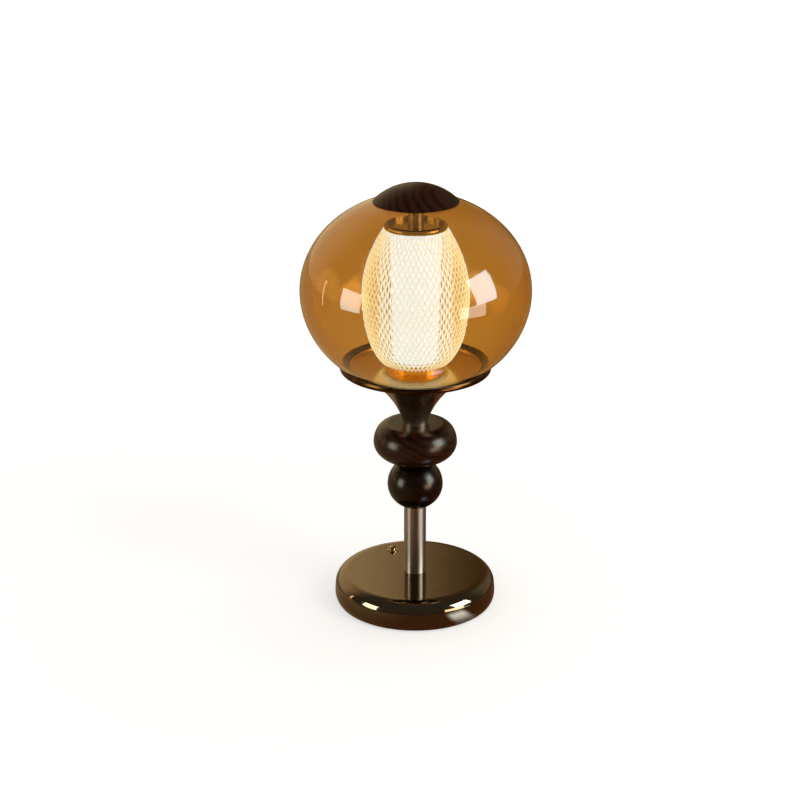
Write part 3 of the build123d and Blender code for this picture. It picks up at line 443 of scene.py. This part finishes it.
@dataclass(frozen=True)
class OiledWalnut(Finish):
    """Dark walnut, turned, stained and oiled: close brown grain with open pores under a soft sheen."""

    light: str = "371709"
    dark: str = "1B0904"
    ring_mm: float = 5.5
    ring_wander: float = 6.0
    # Walnut's pores are half as wide. These are as coarse as they need to show.
    pore_mm: float = 0.5
    pore_stretch: float = 0.06
    pore_share: float = 0.55
    pore_depth_mm: float = 0.08
    pore_strength: float = 0.25
    skin_mm: float = 0.9
    skin_depth_mm: float = 0.12
    skin_strength: float = 0.3
    tilt: float = 0.5
    trunk_turn: tuple[float, float] = (0.25, 0.5)
    trunk_place: tuple[float, float, float] = (0.09, 0.02, 0.0)
    shine: float = 0.38
    shine_tint: str = "FFE3CC"

    def pattern(self, tree: Tree, shader: Node, place: Socket) -> None:
        """Grow rings about a tilted trunk, streak them with pores, and sink the pores a little.

        Args:
            tree: The material's node tree.
            shader: Its principled shader.
            place: Coordinates on the lamp, in metres.
        """
        turn = (self.trunk_turn[0], math.pi / 2 - self.tilt, self.trunk_turn[1])
        trunk = add_node(
            tree, "Mapping", inputs={"Vector": place, "Rotation": turn, "Location": self.trunk_place}
        ).outputs["Vector"]
        rings = add_node(
            tree,
            "TexWave",
            {"wave_type": "RINGS", "rings_direction": "Z"},
            {
                "Vector": trunk,
                "Scale": math.pi / (10 * self.ring_mm * MM),
                "Distortion": self.ring_wander,
                "Detail": 2.0,
                "Detail Scale": 0.6,
            },
        )
        stretched = add_node(
            tree, "Mapping", inputs={"Vector": trunk, "Scale": (1.0, 1.0, self.pore_stretch)}
        ).outputs["Vector"]
        pores = add_node(
            tree,
            "TexNoise",
            inputs={"Vector": stretched, "Scale": 1 / (self.pore_mm * MM), "Detail": 4.0},
        ).outputs["Fac"]
        grain = add_node(
            tree, "Mix", NUMBERS, {"Factor": self.pore_share, 2: rings.outputs["Fac"], 3: pores}
        )
        colour = add_node(
            tree,
            "ValToRGB",
            {"stops": {0.25: self.dark, 0.5: self.colour, 0.8: self.light}},
            {"Fac": grain.outputs[0]},
        )
        tree.links.new(colour.outputs["Color"], shader.inputs["Base Color"])
        self.open_pores(tree, shader, place, pores)
        shader.inputs["Specular IOR Level"].default_value = self.shine
        shader.inputs["Specular Tint"].default_value = linear(self.shine_tint)

    def open_pores(self, tree: Tree, shader: Node, place: Socket, pores: Socket) -> None:
        """Sink the pores, and roughen the skin between them, which breaks up the highlights.

        Args:
            tree: The material's node tree.
            shader: Its principled shader.
            place: Coordinates on the lamp, in metres.
            pores: Pattern of the pores.
        """
        sunk = add_node(
            tree,
            "Bump",
            inputs={
                "Height": pores,
                "Strength": self.pore_strength,
                "Distance": self.pore_depth_mm * MM,
            },
        )
        skin = add_node(
            tree,
            "TexNoise",
            inputs={"Vector": place, "Scale": 1 / (self.skin_mm * MM), "Detail": 2.0},
        )
        rough = add_node(
            tree,
            "Bump",
            inputs={
                "Height": skin.outputs["Fac"],
                "Strength": self.skin_strength,
                "Distance": self.skin_depth_mm * MM,
                "Normal": sunk.outputs["Normal"],
            },
        )
        tree.links.new(rough.outputs["Normal"], shader.inputs["Normal"])


@dataclass(frozen=True)
class BlownGlass(Finish):
    """Amber glass, blown in a mould: clear body colour with the faintest waves in its skin."""

    wave_mm: float = 45.0
    wave_depth_mm: float = 0.3
    wave_strength: float = 0.3
    face_tint: str = "F0E2C3"
    limb: str = "DDBB78"
    limb_facing: tuple[float, float] = (0.3, 0.95)
    foot: str = "E6CFA0"
    crown: str = "E2C99A"
    foot_mm: float = 225.0
    crown_mm: float = 375.0

    def pattern(self, tree: Tree, shader: Node, place: Socket) -> None:
        """Let light through, smoky towards the top and deeper where the wall slants, over slow waves.

        Args:
            tree: The material's node tree.
            shader: Its principled shader.
            place: Coordinates on the lamp, in metres.
        """
        shader.inputs["Transmission Weight"].default_value = 1.0
        height = add_node(tree, "SeparateXYZ", inputs={"Vector": place}).outputs["Z"]
        share = add_node(
            tree,
            "MapRange",
            inputs={"Value": height, "From Min": self.foot_mm * MM, "From Max": self.crown_mm * MM},
        ).outputs["Result"]
        tint = add_node(
            tree,
            "ValToRGB",
            {"stops": {0.0: self.foot, 0.5: self.colour, 0.9: self.crown}},
            {"Fac": share},
        ).outputs["Color"]
        facing = add_node(tree, "LayerWeight", inputs={"Blend": 0.5}).outputs["Facing"]
        low, high = self.limb_facing
        slant = add_node(tree, "MapRange", inputs={"Value": facing, "From Min": low, "From Max": high})
        deeper = add_node(
            tree,
            "Mix",
            {"data_type": "RGBA", "blend_type": "MULTIPLY"},
            {"Factor": slant.outputs["Result"], 6: tint, 7: linear(self.limb)},
        )
        tree.links.new(deeper.outputs[2], shader.inputs["Base Color"])
        waves = add_node(
            tree,
            "TexNoise",
            inputs={"Vector": place, "Scale": 1 / (self.wave_mm * MM), "Detail": 0.0},
        ).outputs["Fac"]
        skin = add_node(
            tree,
            "Bump",
            inputs={
                "Height": waves,
                "Strength": self.wave_strength,
                "Distance": self.wave_depth_mm * MM,
            },
        )
        tree.links.new(skin.outputs["Normal"], shader.inputs["Normal"])
        let_lamps_through(tree, shader, self.face_tint)


@dataclass(frozen=True)
class ClearPlastic(Finish):
    """Clear acrylic, moulded with polished facets."""

    def pattern(self, tree: Tree, shader: Node, place: Socket) -> None:
        """Let light through unchanged but for a slight warmth."""
        shader.inputs["Transmission Weight"].default_value = 1.0
        let_lamps_through(tree, shader, self.colour)


@dataclass(frozen=True)
class LitSurface(Finish):
    """A surface that gives light of its own, such as the opal tube round the light's boards."""

    glow: str = "FFF4DC"
    strength: float = 1.0

    def pattern(self, tree: Tree, shader: Node, place: Socket) -> None:
        """Add an even glow to the plain finish.

        Args:
            tree: The material's node tree.
            shader: Its principled shader.
            place: Coordinates on the lamp, in metres.
        """
        super().pattern(tree, shader, place)
        shader.inputs["Emission Color"].default_value = linear(self.glow)
        shader.inputs["Emission Strength"].default_value = self.strength


@dataclass(frozen=True)
class LitGroove(LitSurface):
    """A groove that lets the light out sideways: warm and bright on its flanks, cooler straight on."""

    straight_on: str = "93B4FF"
    flank: float = 0.55
    face: float = 0.85

    def pattern(self, tree: Tree, shader: Node, place: Socket) -> None:
        """Colour the glow by how far the surface turns from the lamp's axis.

        Args:
            tree: The material's node tree.
            shader: Its principled shader.
            place: Coordinates on the lamp, in metres.
        """
        super().pattern(tree, shader, place)
        flat = add_node(tree, "VectorMath", TIMES, {0: place, 1: WITHOUT_HEIGHT}).outputs["Vector"]
        outward = add_node(tree, "VectorMath", {"operation": "NORMALIZE"}, {0: flat}).outputs["Vector"]
        normal = add_node(tree, "NewGeometry").outputs["Normal"]
        turned = add_node(tree, "VectorMath", {"operation": "DOT_PRODUCT"}, {0: normal, 1: outward})
        glow = add_node(
            tree,
            "ValToRGB",
            {"stops": {self.flank: self.glow, self.face: self.straight_on}},
            {"Fac": turned.outputs["Value"]},
        )
        tree.links.new(glow.outputs["Color"], shader.inputs["Emission Color"])


class LampFinish(Enum):
    """Every finish on the lamp."""

    # Buffed to a dark mirror: the table and the windows show in it.
    BRONZE = PlatedBronze("polished bronze plating", "7C6C59", 0.07, metallic=1.0, mottle=0.02)
    # The same plating, softer where it is held, so its foot shows no sharp reflection.
    TRUMPET = RubbedBronze(
        "rubbed bronze plating", "AC9579", 0.26, metallic=1.0, mottle=0.03, olive="9C8969"
    )
    # Satin outside, almost black. Under the glass its ledge is darkened as painted shade, round a floor
    # paled as painted light from above.
    DISH = DishPlating(
        "satin bronze plating, painted shade and light inside", "43362B", 0.2, metallic=1.0, mottle=0.03, olive="3D3324"
    )
    # Drawn and plated: two long upright highlights, soft at their sides.
    BRONZE_TUBE = TurnedTube("bronze plating on drawn tube", "AC9C8E", 0.38, metallic=1.0, mottle=0.03)
    # Turned and polished steel, paler than the bronze.
    SLEEVE = TurnedTube("polished steel sleeve", "BDB4A8", 0.3, metallic=1.0, mottle=0.03)
    # Polished on the lathe: it shows the warm room behind the glass.
    RING = PlatedBronze("polished ring", "AFAAA2", 0.12, metallic=1.0, mottle=0.02, olive="A29E90")
    # Polished brass: a golden band. Its weak glow is painted light: it stands for light that leaves the
    # barrel's foot.
    CUP = PlatedBronze(
        "polished brass cup",
        "F6D8A4",
        0.16,
        metallic=0.8,
        mottle=0.03,
        olive="EBC98C",
        glow="ECAF3A",
        painted_glow_strength=0.4,
    )
    # Plated brass with a bright turned edge.
    SWITCH = Finish("polished brass plating", "BE9C70", 0.2, metallic=1.0)
    # Stained and oiled: red brown with a soft, broken highlight.
    WALNUT = OiledWalnut("oiled dark walnut", "2A1005", 0.245)
    # Cut aslant through the trunk and rubbed dull: steep arcs of grain and hardly any sheen.
    WALNUT_CAP = OiledWalnut("oiled dark walnut, slash cut", "33140A", 0.36, tilt=0.8, shine=0.14)
    # The same walnut, painted nearly black as shade, with a small clear highlight.
    WALNUT_PAINTED_SHADE = OiledWalnut(
        "oiled dark walnut, painted shade", "100502", 0.235, light="180904", dark="090301", tilt=0.9
    )
    # Blown glass, coloured through: sharp window reflections over an amber body.
    AMBER = BlownGlass("amber blown glass", "E1C692", 0.0)
    # Clear and polished, so that only its edges and its lit grooves show.
    ACRYLIC = ClearPlastic("clear cut acrylic", "FBF9F5", 0.0, ior=1.49)
    # The cut grooves catch the tube's light and give it off sideways.
    LIGHT_LINE = LitGroove("acrylic groove carrying light", "C8C8C8", 0.4, glow="B5A840", strength=2.4)
    # Milky and evenly lit. The cool glow turns warm white in the amber glass.
    OPAL = LitSurface("opal polycarbonate, lit", "A8A8A8", 0.5, glow="95B9FF", strength=3.36)
    # Yellow phosphor over each chip, the brightest spots inside the tube.
    CHIP = LitSurface("phosphor, lit", "FFD27A", 0.5, glow="FFE2B0", strength=8.0)
    # Dull grey, blotched by the zinc's crystals.
    ZINC = Finish("zinc-plated steel", "9D9D9B", 0.32, metallic=1.0, mottle=0.08)
    # Sprayed and baked powder: black with a fine orange-peel skin.
    PAINTED = Finish("black powder coat on steel", "16161A", 0.5, bump_mm=0.5)
    # Sand cast and left raw: dark and grainy.
    IRON = Finish("raw cast iron", "3A3836", 0.75, metallic=0.6, bump_mm=1.2)
    # Extruded: pale silver with a satin sheen.
    ALUMINIUM = Finish("extruded aluminium", "C3C4C6", 0.35, metallic=1.0)
    # Turned from bar: yellow with a clear gloss.
    BRASS = Finish("turned brass", "B8944F", 0.25, metallic=1.0)
    # Rolled strip: warm grey and smooth.
    NICKEL = Finish("nickel strip", "B9B4A8", 0.28, metallic=1.0)
    # Moulded rubber: matt black.
    RUBBER = Finish("black rubber", "101010", 0.7, bump_mm=0.6)
    # Moulded silicone: dark brown, so that it hides between glass and dish.
    SILICONE = Finish("brown silicone", "2E2116", 0.45)
    # Moulded and spark-eroded: black with a fine grain.
    BLACK_ABS = Finish("moulded black ABS", "141414", 0.45, ior=1.53, bump_mm=0.4)
    # Moulded smooth: white, so that it sends stray light on.
    WHITE_ABS = Finish("moulded white ABS", "E4E2DC", 0.4, ior=1.53)
    # Solder mask over glass fibre: glossy dark green.
    BOARD = Finish("green solder mask", "0F3B22", 0.35)
    # Shrunk film round each cell: blue and shiny.
    CELL = Finish("shrink sleeve", "23497E", 0.3)
    # Soft sleeve round each lead: plain black.
    LEAD = Finish("silicone lead sleeve", "1A1A1A", 0.5)


NODE_FINISHES: dict[LampFinish, tuple[str, ...]] = {
    LampFinish.BRONZE: ("base_shell",),
    LampFinish.TRUMPET: ("trumpet_neck",),
    LampFinish.DISH: ("dish",),
    LampFinish.BRONZE_TUBE: ("stem_tube",),
    LampFinish.SLEEVE: ("spacer_sleeve",),
    LampFinish.RING: ("barrel_ring",),
    LampFinish.CUP: ("seat_cup",),
    LampFinish.SWITCH: ("switch_body", "switch_button"),
    LampFinish.WALNUT: ("upper_bead",),
    LampFinish.WALNUT_CAP: ("wood_cap",),
    LampFinish.WALNUT_PAINTED_SHADE: ("lower_bead",),
    LampFinish.AMBER: ("glass_globe",),
    LampFinish.ACRYLIC: ("diamond_barrel",),
    LampFinish.OPAL: ("opal_tube",),
    LampFinish.CHIP: ("led_chips",),
    LampFinish.ZINC: (
        "cover_screws",
        "board_screws",
        "usb_socket",
        "switch_nut",
        "switch_spring",
        "base_washer",
        "base_nut",
        "gallery_nut",
        "centre_rod",
    ),
    LampFinish.PAINTED: ("bottom_cover",),
    LampFinish.IRON: ("base_weight",),
    LampFinish.ALUMINIUM: ("stem_bushes", "heat_sink"),
    LampFinish.BRASS: ("cap_insert",),
    LampFinish.NICKEL: ("battery_contacts",),
    LampFinish.RUBBER: ("foot_ring",),
    LampFinish.SILICONE: ("globe_seal", "cap_cushion"),
    LampFinish.BLACK_ABS: ("battery_tray", "board_components", "socket_tongue", "port_bezel"),
    LampFinish.WHITE_ABS: ("tube_holder", "led_boards"),
    LampFinish.BOARD: ("control_board",),
    LampFinish.CELL: ("battery_cells",),
    LampFinish.LEAD: ("battery_lead", "switch_lead", "lamp_lead"),
}


@dataclass
class ConstructionFinishes:
    """Gives every construction node its finish."""

    nodes: dict[str, bpy.types.Object]

    def dress(self) -> None:
        """Put one material on each node, and name any node that gets none."""
        for finish, names in NODE_FINISHES.items():
            material = finish.value.build()
            for name in names:
                self.assign(self.nodes[name], material)
        bare = set(self.nodes) - {name for names in NODE_FINISHES.values() for name in names}
        if bare:
            LOG.warning("nodes with no finish: %s", sorted(bare))

    def assign(self, node: bpy.types.Object, material: bpy.types.Material) -> None:
        """Replace a node's material slots with one material.

        Args:
            node: Construction node.
            material: Material it gets.
        """
        node.data.materials.clear()
        node.data.materials.append(material)
        LOG.info("%s: %s, %d faces", node.name, material.name, len(node.data.polygons))


@dataclass
class LightNet:
    """Fine bright lines along the crossing grooves of the barrel, which carry its light."""

    seat_mm: float = 226.5
    height_mm: float = 121.1
    belly_mm: float = 61.5
    foot_radius_mm: float = 25.0
    radius_mm: float = 46.0
    top_radius_mm: float = 27.0
    bowl: float = 0.57
    around: int = 54
    rows: int = 28
    plain_rows: int = 1
    line_radius_mm: float = 0.42
    sides: int = 5
    samples: int = 4000

    def outline_radius(self, height: float) -> float:
        """Work out the barrel's radius at a height above its seat.

        Args:
            height: Height in millimetres.

        Returns:
            Radius in millimetres.
        """
        if height <= self.belly_mm:
            share = 1 - height / self.belly_mm
            swell = self.radius_mm - self.foot_radius_mm
            return self.foot_radius_mm + swell * (1 - share**2) ** self.bowl
        share = (height - self.belly_mm) / (self.height_mm - self.belly_mm)
        return self.top_radius_mm + (self.radius_mm - self.top_radius_mm) * (1 - share**2)

    def rings(self) -> list[tuple[float, float]]:
        """Space the groove crossings evenly along the outline.

        Returns:
            Radius and height of each ring of crossings, in millimetres.
        """
        turns = [math.pi * at / self.samples for at in range(self.samples + 1)]
        heights = [self.height_mm * (1 - math.cos(turn)) / 2 for turn in turns]
        outline = [(self.outline_radius(height), height) for height in heights]
        lengths = [0.0]
        for here, there in zip(outline, outline[1:]):
            lengths.append(lengths[-1] + math.dist(here, there))
        found = []
        at = 0
        for row in range(self.rows + 1):
            wanted = lengths[-1] * row / self.rows
            while at < self.samples and lengths[at] < wanted:
                at += 1
            found.append((outline[at][0], self.seat_mm + outline[at][1]))
        return found

    def build(self) -> bpy.types.Object:
        """Sweep one fine line along every groove.

        Returns:
            The net as one mesh object.
        """
        vertices: list[Vector] = []
        faces: list[tuple[int, ...]] = []
        rings = list(enumerate(self.rings()))[self.plain_rows :]
        half_pitch = math.pi / self.around
        for start in range(0, 2 * self.around, 2):
            for turn in (1, -1):
                path = []
                for row, (radius, height) in rings:
                    angle = half_pitch * (start + turn * row)
                    reach = radius + self.line_radius_mm / 2
                    path.append(Vector((reach * math.cos(angle), reach * math.sin(angle), height)) * MM)
                sweep_line(path, self.line_radius_mm * MM, self.sides, vertices, faces)
        mesh = bpy.data.meshes.new("light_net")
        mesh.from_pydata([tuple(vertex) for vertex in vertices], [], faces)
        mesh.shade_smooth()
        net = bpy.data.objects.new("light_net", mesh)
        bpy.context.scene.collection.objects.link(net)
        net.data.materials.append(LampFinish.LIGHT_LINE.value.build())
        LOG.info("%s: %d faces", net.name, len(mesh.polygons))
        return net


@dataclass
class ReturnSpring:
    """Coil spring under the button, which squeezes it, drawn as a piece of its own."""

    place_mm: tuple[float, float] = (-20.4, 41.5)
    floor_mm: float = 15.7
    foot_mm: float = 15.95
    height_mm: float = 5.5
    coil_radius_mm: float = 2.2
    wire_radius_mm: float = 0.2
    turns: int = 4
    travel_mm: float = 1.2
    steps: int = 24
    sides: int = 8

    def build(self, steel: bpy.types.Material) -> bpy.types.Object:
        """Wind the spring.

        Args:
            steel: Finish of the wire.

        Returns:
            The spring as one mesh object.
        """
        radius = self.coil_radius_mm
        path = []
        for at in range(self.turns * self.steps + 1):
            angle = 2 * math.pi * at / self.steps
            height = self.foot_mm + self.height_mm * at / (self.turns * self.steps)
            path.append(Vector((radius * math.cos(angle), radius * math.sin(angle), height)) * MM)
        vertices: list[Vector] = []
        faces: list[tuple[int, ...]] = []
        sweep_line(path, self.wire_radius_mm * MM, self.sides, vertices, faces)
        across, along = (place * MM for place in self.place_mm)
        mesh = bpy.data.meshes.new("return_spring")
        corners = [(corner.x + across, corner.y + along, corner.z) for corner in vertices]
        mesh.from_pydata(corners, [], faces)
        mesh.shade_smooth()
        mesh.materials.append(steel)
        spring = bpy.data.objects.new("return_spring", mesh)
        bpy.context.scene.collection.objects.link(spring)
        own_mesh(spring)
        LOG.info("%s: %d faces", spring.name, len(mesh.polygons))
        return spring


@dataclass(frozen=True)
class Softbox:
    """One soft, oblong studio light."""

    name: str
    place: tuple[float, float, float]
    size: tuple[float, float]
    brightness: float
    colour: str
    aim: tuple[float, float, float] = (0.0, 0.0, 0.2)
    shows_in_gloss: bool = True
    lights_surfaces: bool = True

    def build(self) -> None:
        """Add the light, turned to the lamp."""
        data = bpy.data.lights.new(self.name, "AREA")
        data.shape = "RECTANGLE"
        data.size, data.size_y = self.size
        data.energy = self.brightness * math.pi * self.size[0] * self.size[1]
        data.color = linear(self.colour)[:3]
        light = bpy.data.objects.new(self.name, data)
        light.location = self.place
        light.rotation_mode = "QUATERNION"
        light.rotation_quaternion = (Vector(self.aim) - Vector(self.place)).to_track_quat("-Z", "Y")
        light.visible_camera = False
        light.visible_glossy = self.shows_in_gloss
        light.visible_transmission = False
        light.visible_diffuse = self.lights_surfaces
        bpy.context.scene.collection.objects.link(light)
        LOG.info("%s: light", self.name)


@dataclass(frozen=True)
class Window(Softbox):
    """A bright window, which shows in gloss and lights no surface."""

    lights_surfaces: bool = False


@dataclass(frozen=True)
class StudioLamp(Softbox):
    """A lamp that lights surfaces and shows in none."""

    shows_in_gloss: bool = False


@dataclass
class TableTop:
    """Plain white floor that keeps the lamp's shadow. Polished metal shows it as a brown table."""

    size: float = 12.0
    paper: str = "E8E6E3"
    lift: tuple[float, float] = (0.52, 0.9)
    lift_reach: tuple[float, float] = (0.3, 2.5)
    amber_paper: str = "C9A55E"
    amber_lift: float = 0.5
    wood_left: str = "A08A6C"
    wood_right: str = "795136"
    wood_across: tuple[float, float] = (-0.12, 0.0)
    glare: float = 5.0
    glare_colour: str = "CDE2FF"
    glare_bearings: tuple[float, float] = (33.0, 50.0)
    glare_reach: tuple[float, float] = (0.085, 0.12)
    bearing_edge_degrees: float = 4.0
    reach_edge: float = 0.02

    def build(self) -> None:
        """Add the floor as part of the stage."""
        half = self.size / 2
        mesh = bpy.data.meshes.new("studio_floor")
        corners = [(-half, -half, 0), (half, -half, 0), (half, half, 0), (-half, half, 0)]
        mesh.from_pydata(corners, [], [(0, 1, 2, 3)])
        floor = bpy.data.objects.new("studio_floor", mesh)
        bpy.context.scene.collection.objects.link(floor)
        floor.data.materials.append(self.surface())
        LOG.info("%s: %g m wide", floor.name, self.size)

    def surface(self) -> bpy.types.Material:
        """Make the floor's material: paper, wood in metal, and amber paper through the glass.

        Returns:
            The material.
        """
        material = bpy.data.materials.new("white paper sweep")
        material.use_nodes = True
        tree = material.node_tree
        tree.nodes.clear()
        place = add_node(tree, "TexCoord").outputs["Object"]
        reach = add_node(tree, "VectorMath", {"operation": "LENGTH"}, {0: place}).outputs["Value"]
        paper = add_node(tree, "BsdfDiffuse", inputs={"Color": linear(self.paper)})
        rise = add_node(
            tree,
            "MapRange",
            inputs={
                "Value": reach,
                "From Min": self.lift_reach[0],
                "From Max": self.lift_reach[1],
                "To Min": self.lift[0],
                "To Max": self.lift[1],
            },
        ).outputs["Result"]
        lift = add_node(tree, "Emission", inputs={"Color": linear(WHITE), "Strength": rise})
        seen = add_node(tree, "AddShader", inputs={0: paper.outputs[0], 1: lift.outputs[0]})
        amber = add_node(tree, "BsdfDiffuse", inputs={"Color": linear(self.amber_paper)})
        amber_lift = add_node(
            tree, "Emission", inputs={"Color": linear(SEEN_THROUGH_GLASS), "Strength": self.amber_lift}
        )
        through = add_node(tree, "AddShader", inputs={0: amber.outputs[0], 1: amber_lift.outputs[0]})
        mirrored = self.table_in_metal(tree, place, reach)
        rays = add_node(tree, "LightPath")
        show_by_ray(tree, rays, (paper, mirrored, through, seen), "OutputMaterial")
        return material

    def table_in_metal(self, tree: Tree, place: Socket, reach: Socket) -> Node:
        """Show metal a brown table, paler at its left, with the right window's glare on it.

        Args:
            tree: Node tree that the nodes go into.
            place: Coordinates on the table, in metres.
            reach: Distance from the lamp's axis, in metres.

        Returns:
            Shader of the table.
        """
        across = add_node(tree, "SeparateXYZ", inputs={"Vector": place}).outputs["X"]
        low, high = self.wood_across
        share = add_node(tree, "MapRange", SMOOTH, {"Value": across, "From Min": low, "From Max": high})
        wood = add_node(
            tree,
            "Mix",
            COLOURS,
            {"Factor": share.outputs["Result"], 6: linear(self.wood_left), 7: linear(self.wood_right)},
        ).outputs[2]
        plain = add_node(tree, "Emission", inputs={"Color": wood, "Strength": 1.0})
        glare = add_node(
            tree, "Emission", inputs={"Color": linear(self.glare_colour), "Strength": self.glare}
        )
        glare_share = self.glare_share(tree, place, reach)
        return add_node(
            tree, "MixShader", inputs={"Fac": glare_share, 1: plain.outputs[0], 2: glare.outputs[0]}
        )

    def glare_share(self, tree: Tree, place: Socket, reach: Socket) -> Socket:
        """Bound the glare to a soft wedge in front of the base's right.

        Args:
            tree: Node tree that the nodes go into.
            place: Coordinates on the table, in metres.
            reach: Distance from the lamp's axis, in metres.

        Returns:
            Share of glare at that place.
        """
        parts = add_node(tree, "SeparateXYZ", inputs={"Vector": place}).outputs
        front = add_node(tree, "Math", TIMES, {0: parts["Y"], 1: -1.0}).outputs[0]
        bearing = add_node(tree, "Math", {"operation": "ARCTAN2"}, {0: parts["X"], 1: front}).outputs[0]
        left, right = (math.radians(end) for end in self.glare_bearings)
        near, far = self.glare_reach
        turn = math.radians(self.bearing_edge_degrees)
        step = self.reach_edge
        bounds = (
            (bearing, left - turn, left + turn),
            (bearing, right + turn, right - turn),
            (reach, near - step, near + step),
            (reach, far + step, far - step),
        )
        product: Any = 1.0
        for value, outside, inside in bounds:
            share = add_node(
                tree, "MapRange", SMOOTH, {"Value": value, "From Min": outside, "From Max": inside}
            )
            product = add_node(tree, "Math", TIMES, {0: product, 1: share.outputs["Result"]}).outputs[0]
        return product


@dataclass(frozen=True)
class WallLayer:
    """One more colour of the room, laid over those before it from one direction to another."""

    axis: str
    starts: float
    full: float
    colour: str


@dataclass
class Room:
    """White for the camera, amber through the glass, a brown room in metal, and a soft fill."""

    windows: tuple[Window, ...]
    rear_left: str = "E8CEA3"
    layers: tuple[WallLayer, ...] = (
        WallLayer("X", -0.035, 0.045, "6C5130"),
        WallLayer("X", 0.3, 0.65, "978E7C"),
        WallLayer("Y", 0.6, 0.1, "564D42"),
        WallLayer("Z", 0.5, 0.9, "53524E"),
    )
    brightness: float = 1.15
    fill: str = "FFFDFA"
    fill_brightness: float = 0.5
    window_edges: tuple[float, float] = (0.94, 0.975)
    window_share: float = 0.55

    def build(self) -> None:
        """Make the world, which shows each kind of ray its own side."""
        world = bpy.data.worlds.new("studio")
        bpy.context.scene.world = world
        world.use_nodes = True
        tree = world.node_tree
        tree.nodes.clear()
        rays = add_node(tree, "LightPath")
        towards = add_node(tree, "TexCoord").outputs["Generated"]
        sides = (
            (linear(self.fill), self.fill_brightness),
            (self.walls(tree, towards), self.brightness),
            (linear(SEEN_THROUGH_GLASS), self.window_light(tree, rays, towards)),
            (linear(WHITE), 1.0),
        )
        shaders = tuple(
            add_node(tree, "Background", inputs={"Color": colour, "Strength": strength})
            for colour, strength in sides
        )
        show_by_ray(tree, rays, shaders, "OutputWorld")
        LOG.info("room: %d wall colours", len(self.layers) + 1)

    def walls(self, tree: Tree, towards: Socket) -> Socket:
        """Colour the room: pale at the rear left, darker at the right, dim in front and above.

        Args:
            tree: Node tree that the nodes go into.
            towards: Direction into the room.

        Returns:
            The room's colour in that direction.
        """
        parts = add_node(tree, "SeparateXYZ", inputs={"Vector": towards}).outputs
        colour: Any = linear(self.rear_left)
        for layer in self.layers:
            share = add_node(
                tree,
                "MapRange",
                SMOOTH,
                {"Value": parts[layer.axis], "From Min": layer.starts, "From Max": layer.full},
            )
            colour = add_node(
                tree,
                "Mix",
                COLOURS,
                {"Factor": share.outputs["Result"], 6: colour, 7: linear(layer.colour)},
            ).outputs[2]
        return colour

    def window_light(self, tree: Tree, rays: Node, towards: Socket) -> Socket:
        """Stand in for the windows in metal behind the glass, which the lights themselves don't reach.

        Args:
            tree: Node tree that the nodes go into.
            rays: Light Path node.
            towards: Direction into the room.

        Returns:
            Brightness of the room behind the glass.
        """
        depth = rays.outputs["Glossy Depth"]
        after_metal = add_node(tree, "Math", {"operation": "GREATER_THAN"}, {0: depth, 1: 0.5}).outputs[0]
        low, high = self.window_edges
        brightness: Any = 1.0
        for window in self.windows:
            middle = (Vector(window.place) - Vector(window.aim)).normalized()
            facing = add_node(
                tree, "VectorMath", {"operation": "DOT_PRODUCT"}, {0: towards, 1: middle}
            ).outputs["Value"]
            share = add_node(
                tree, "MapRange", SMOOTH, {"Value": facing, "From Min": low, "From Max": high}
            )
            shown = add_node(tree, "Math", TIMES, {0: share.outputs["Result"], 1: after_metal})
            brightness = add_node(
                tree,
                "Math",
                {"operation": "MULTIPLY_ADD"},
                {0: shown.outputs[0], 1: window.brightness * self.window_share, 2: brightness},
            ).outputs[0]
        return brightness


@dataclass
class PhotoCamera:
    """Camera where the photograph was taken from."""

    lens_mm: float = 90.0
    sensor_mm: float = 36.0
    clip_start: float = 0.05
    place: tuple[float, float, float] = (-0.0135, -1.6415, 0.8147)
    down_degrees: float = 20.8

    def build(self) -> None:
        """Add the camera and make it the scene's own."""
        data = bpy.data.cameras.new("camera")
        data.lens = self.lens_mm
        data.sensor_width = self.sensor_mm
        data.clip_start = self.clip_start
        camera = bpy.data.objects.new("camera", data)
        camera.location = self.place
        camera.rotation_euler = (math.radians(90 - self.down_degrees), 0, 0)
        bpy.context.scene.collection.objects.link(camera)
        bpy.context.scene.camera = camera
        LOG.info("camera: %g mm lens", self.lens_mm)


@dataclass
class Studio:
    """Pale floor, white surroundings, soft lights and the camera."""

    windows: tuple[Window, ...] = (
        Window("window_right", (1.45, -0.5, 0.74), (0.75, 0.85), 13.0, "D7F2FF"),
        Window("window_right_foot", (1.147, -0.803, 0.175), (0.7, 0.34), 7.0, "FFF0E2"),
        Window("window_left", (-1.4, -0.66, 0.4), (0.6, 0.62), 8.5, "EDFFFB"),
        Window("door_left", (-1.45, 0.25, 0.29), (0.05, 0.56), 6.0, "FFD9A0"),
    )
    lamps: tuple[StudioLamp, ...] = (
        StudioLamp("key_right", (1.3, -0.9, 1.2), (0.8, 0.8), 3.0, "FFF8F0"),
        StudioLamp("softbox_above", (0.2, 0.3, 2.4), (1.6, 1.6), 0.7, WHITE),
    )

    def build(self) -> None:
        """Build the whole studio."""
        bpy.context.scene.view_settings.view_transform = "Standard"
        TableTop().build()
        Room(self.windows).build()
        for softbox in self.windows + self.lamps:
            softbox.build()
        PhotoCamera().build()


def main() -> None:
    """Load the construction model, build the studio, dress the model and add the two pieces."""
    logging.basicConfig(level=logging.INFO, format="%(name)s: %(message)s")
    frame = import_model()
    Studio().build()
    ConstructionFinishes(frame["nodes"]).dress()
    net = LightNet().build()
    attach(net, "lamp")
    spring = ReturnSpring().build(frame["nodes"]["switch_spring"].data.materials[0])
    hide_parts("switch_spring")
    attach(spring, "lamp")


if __name__ == "__main__":
    main()
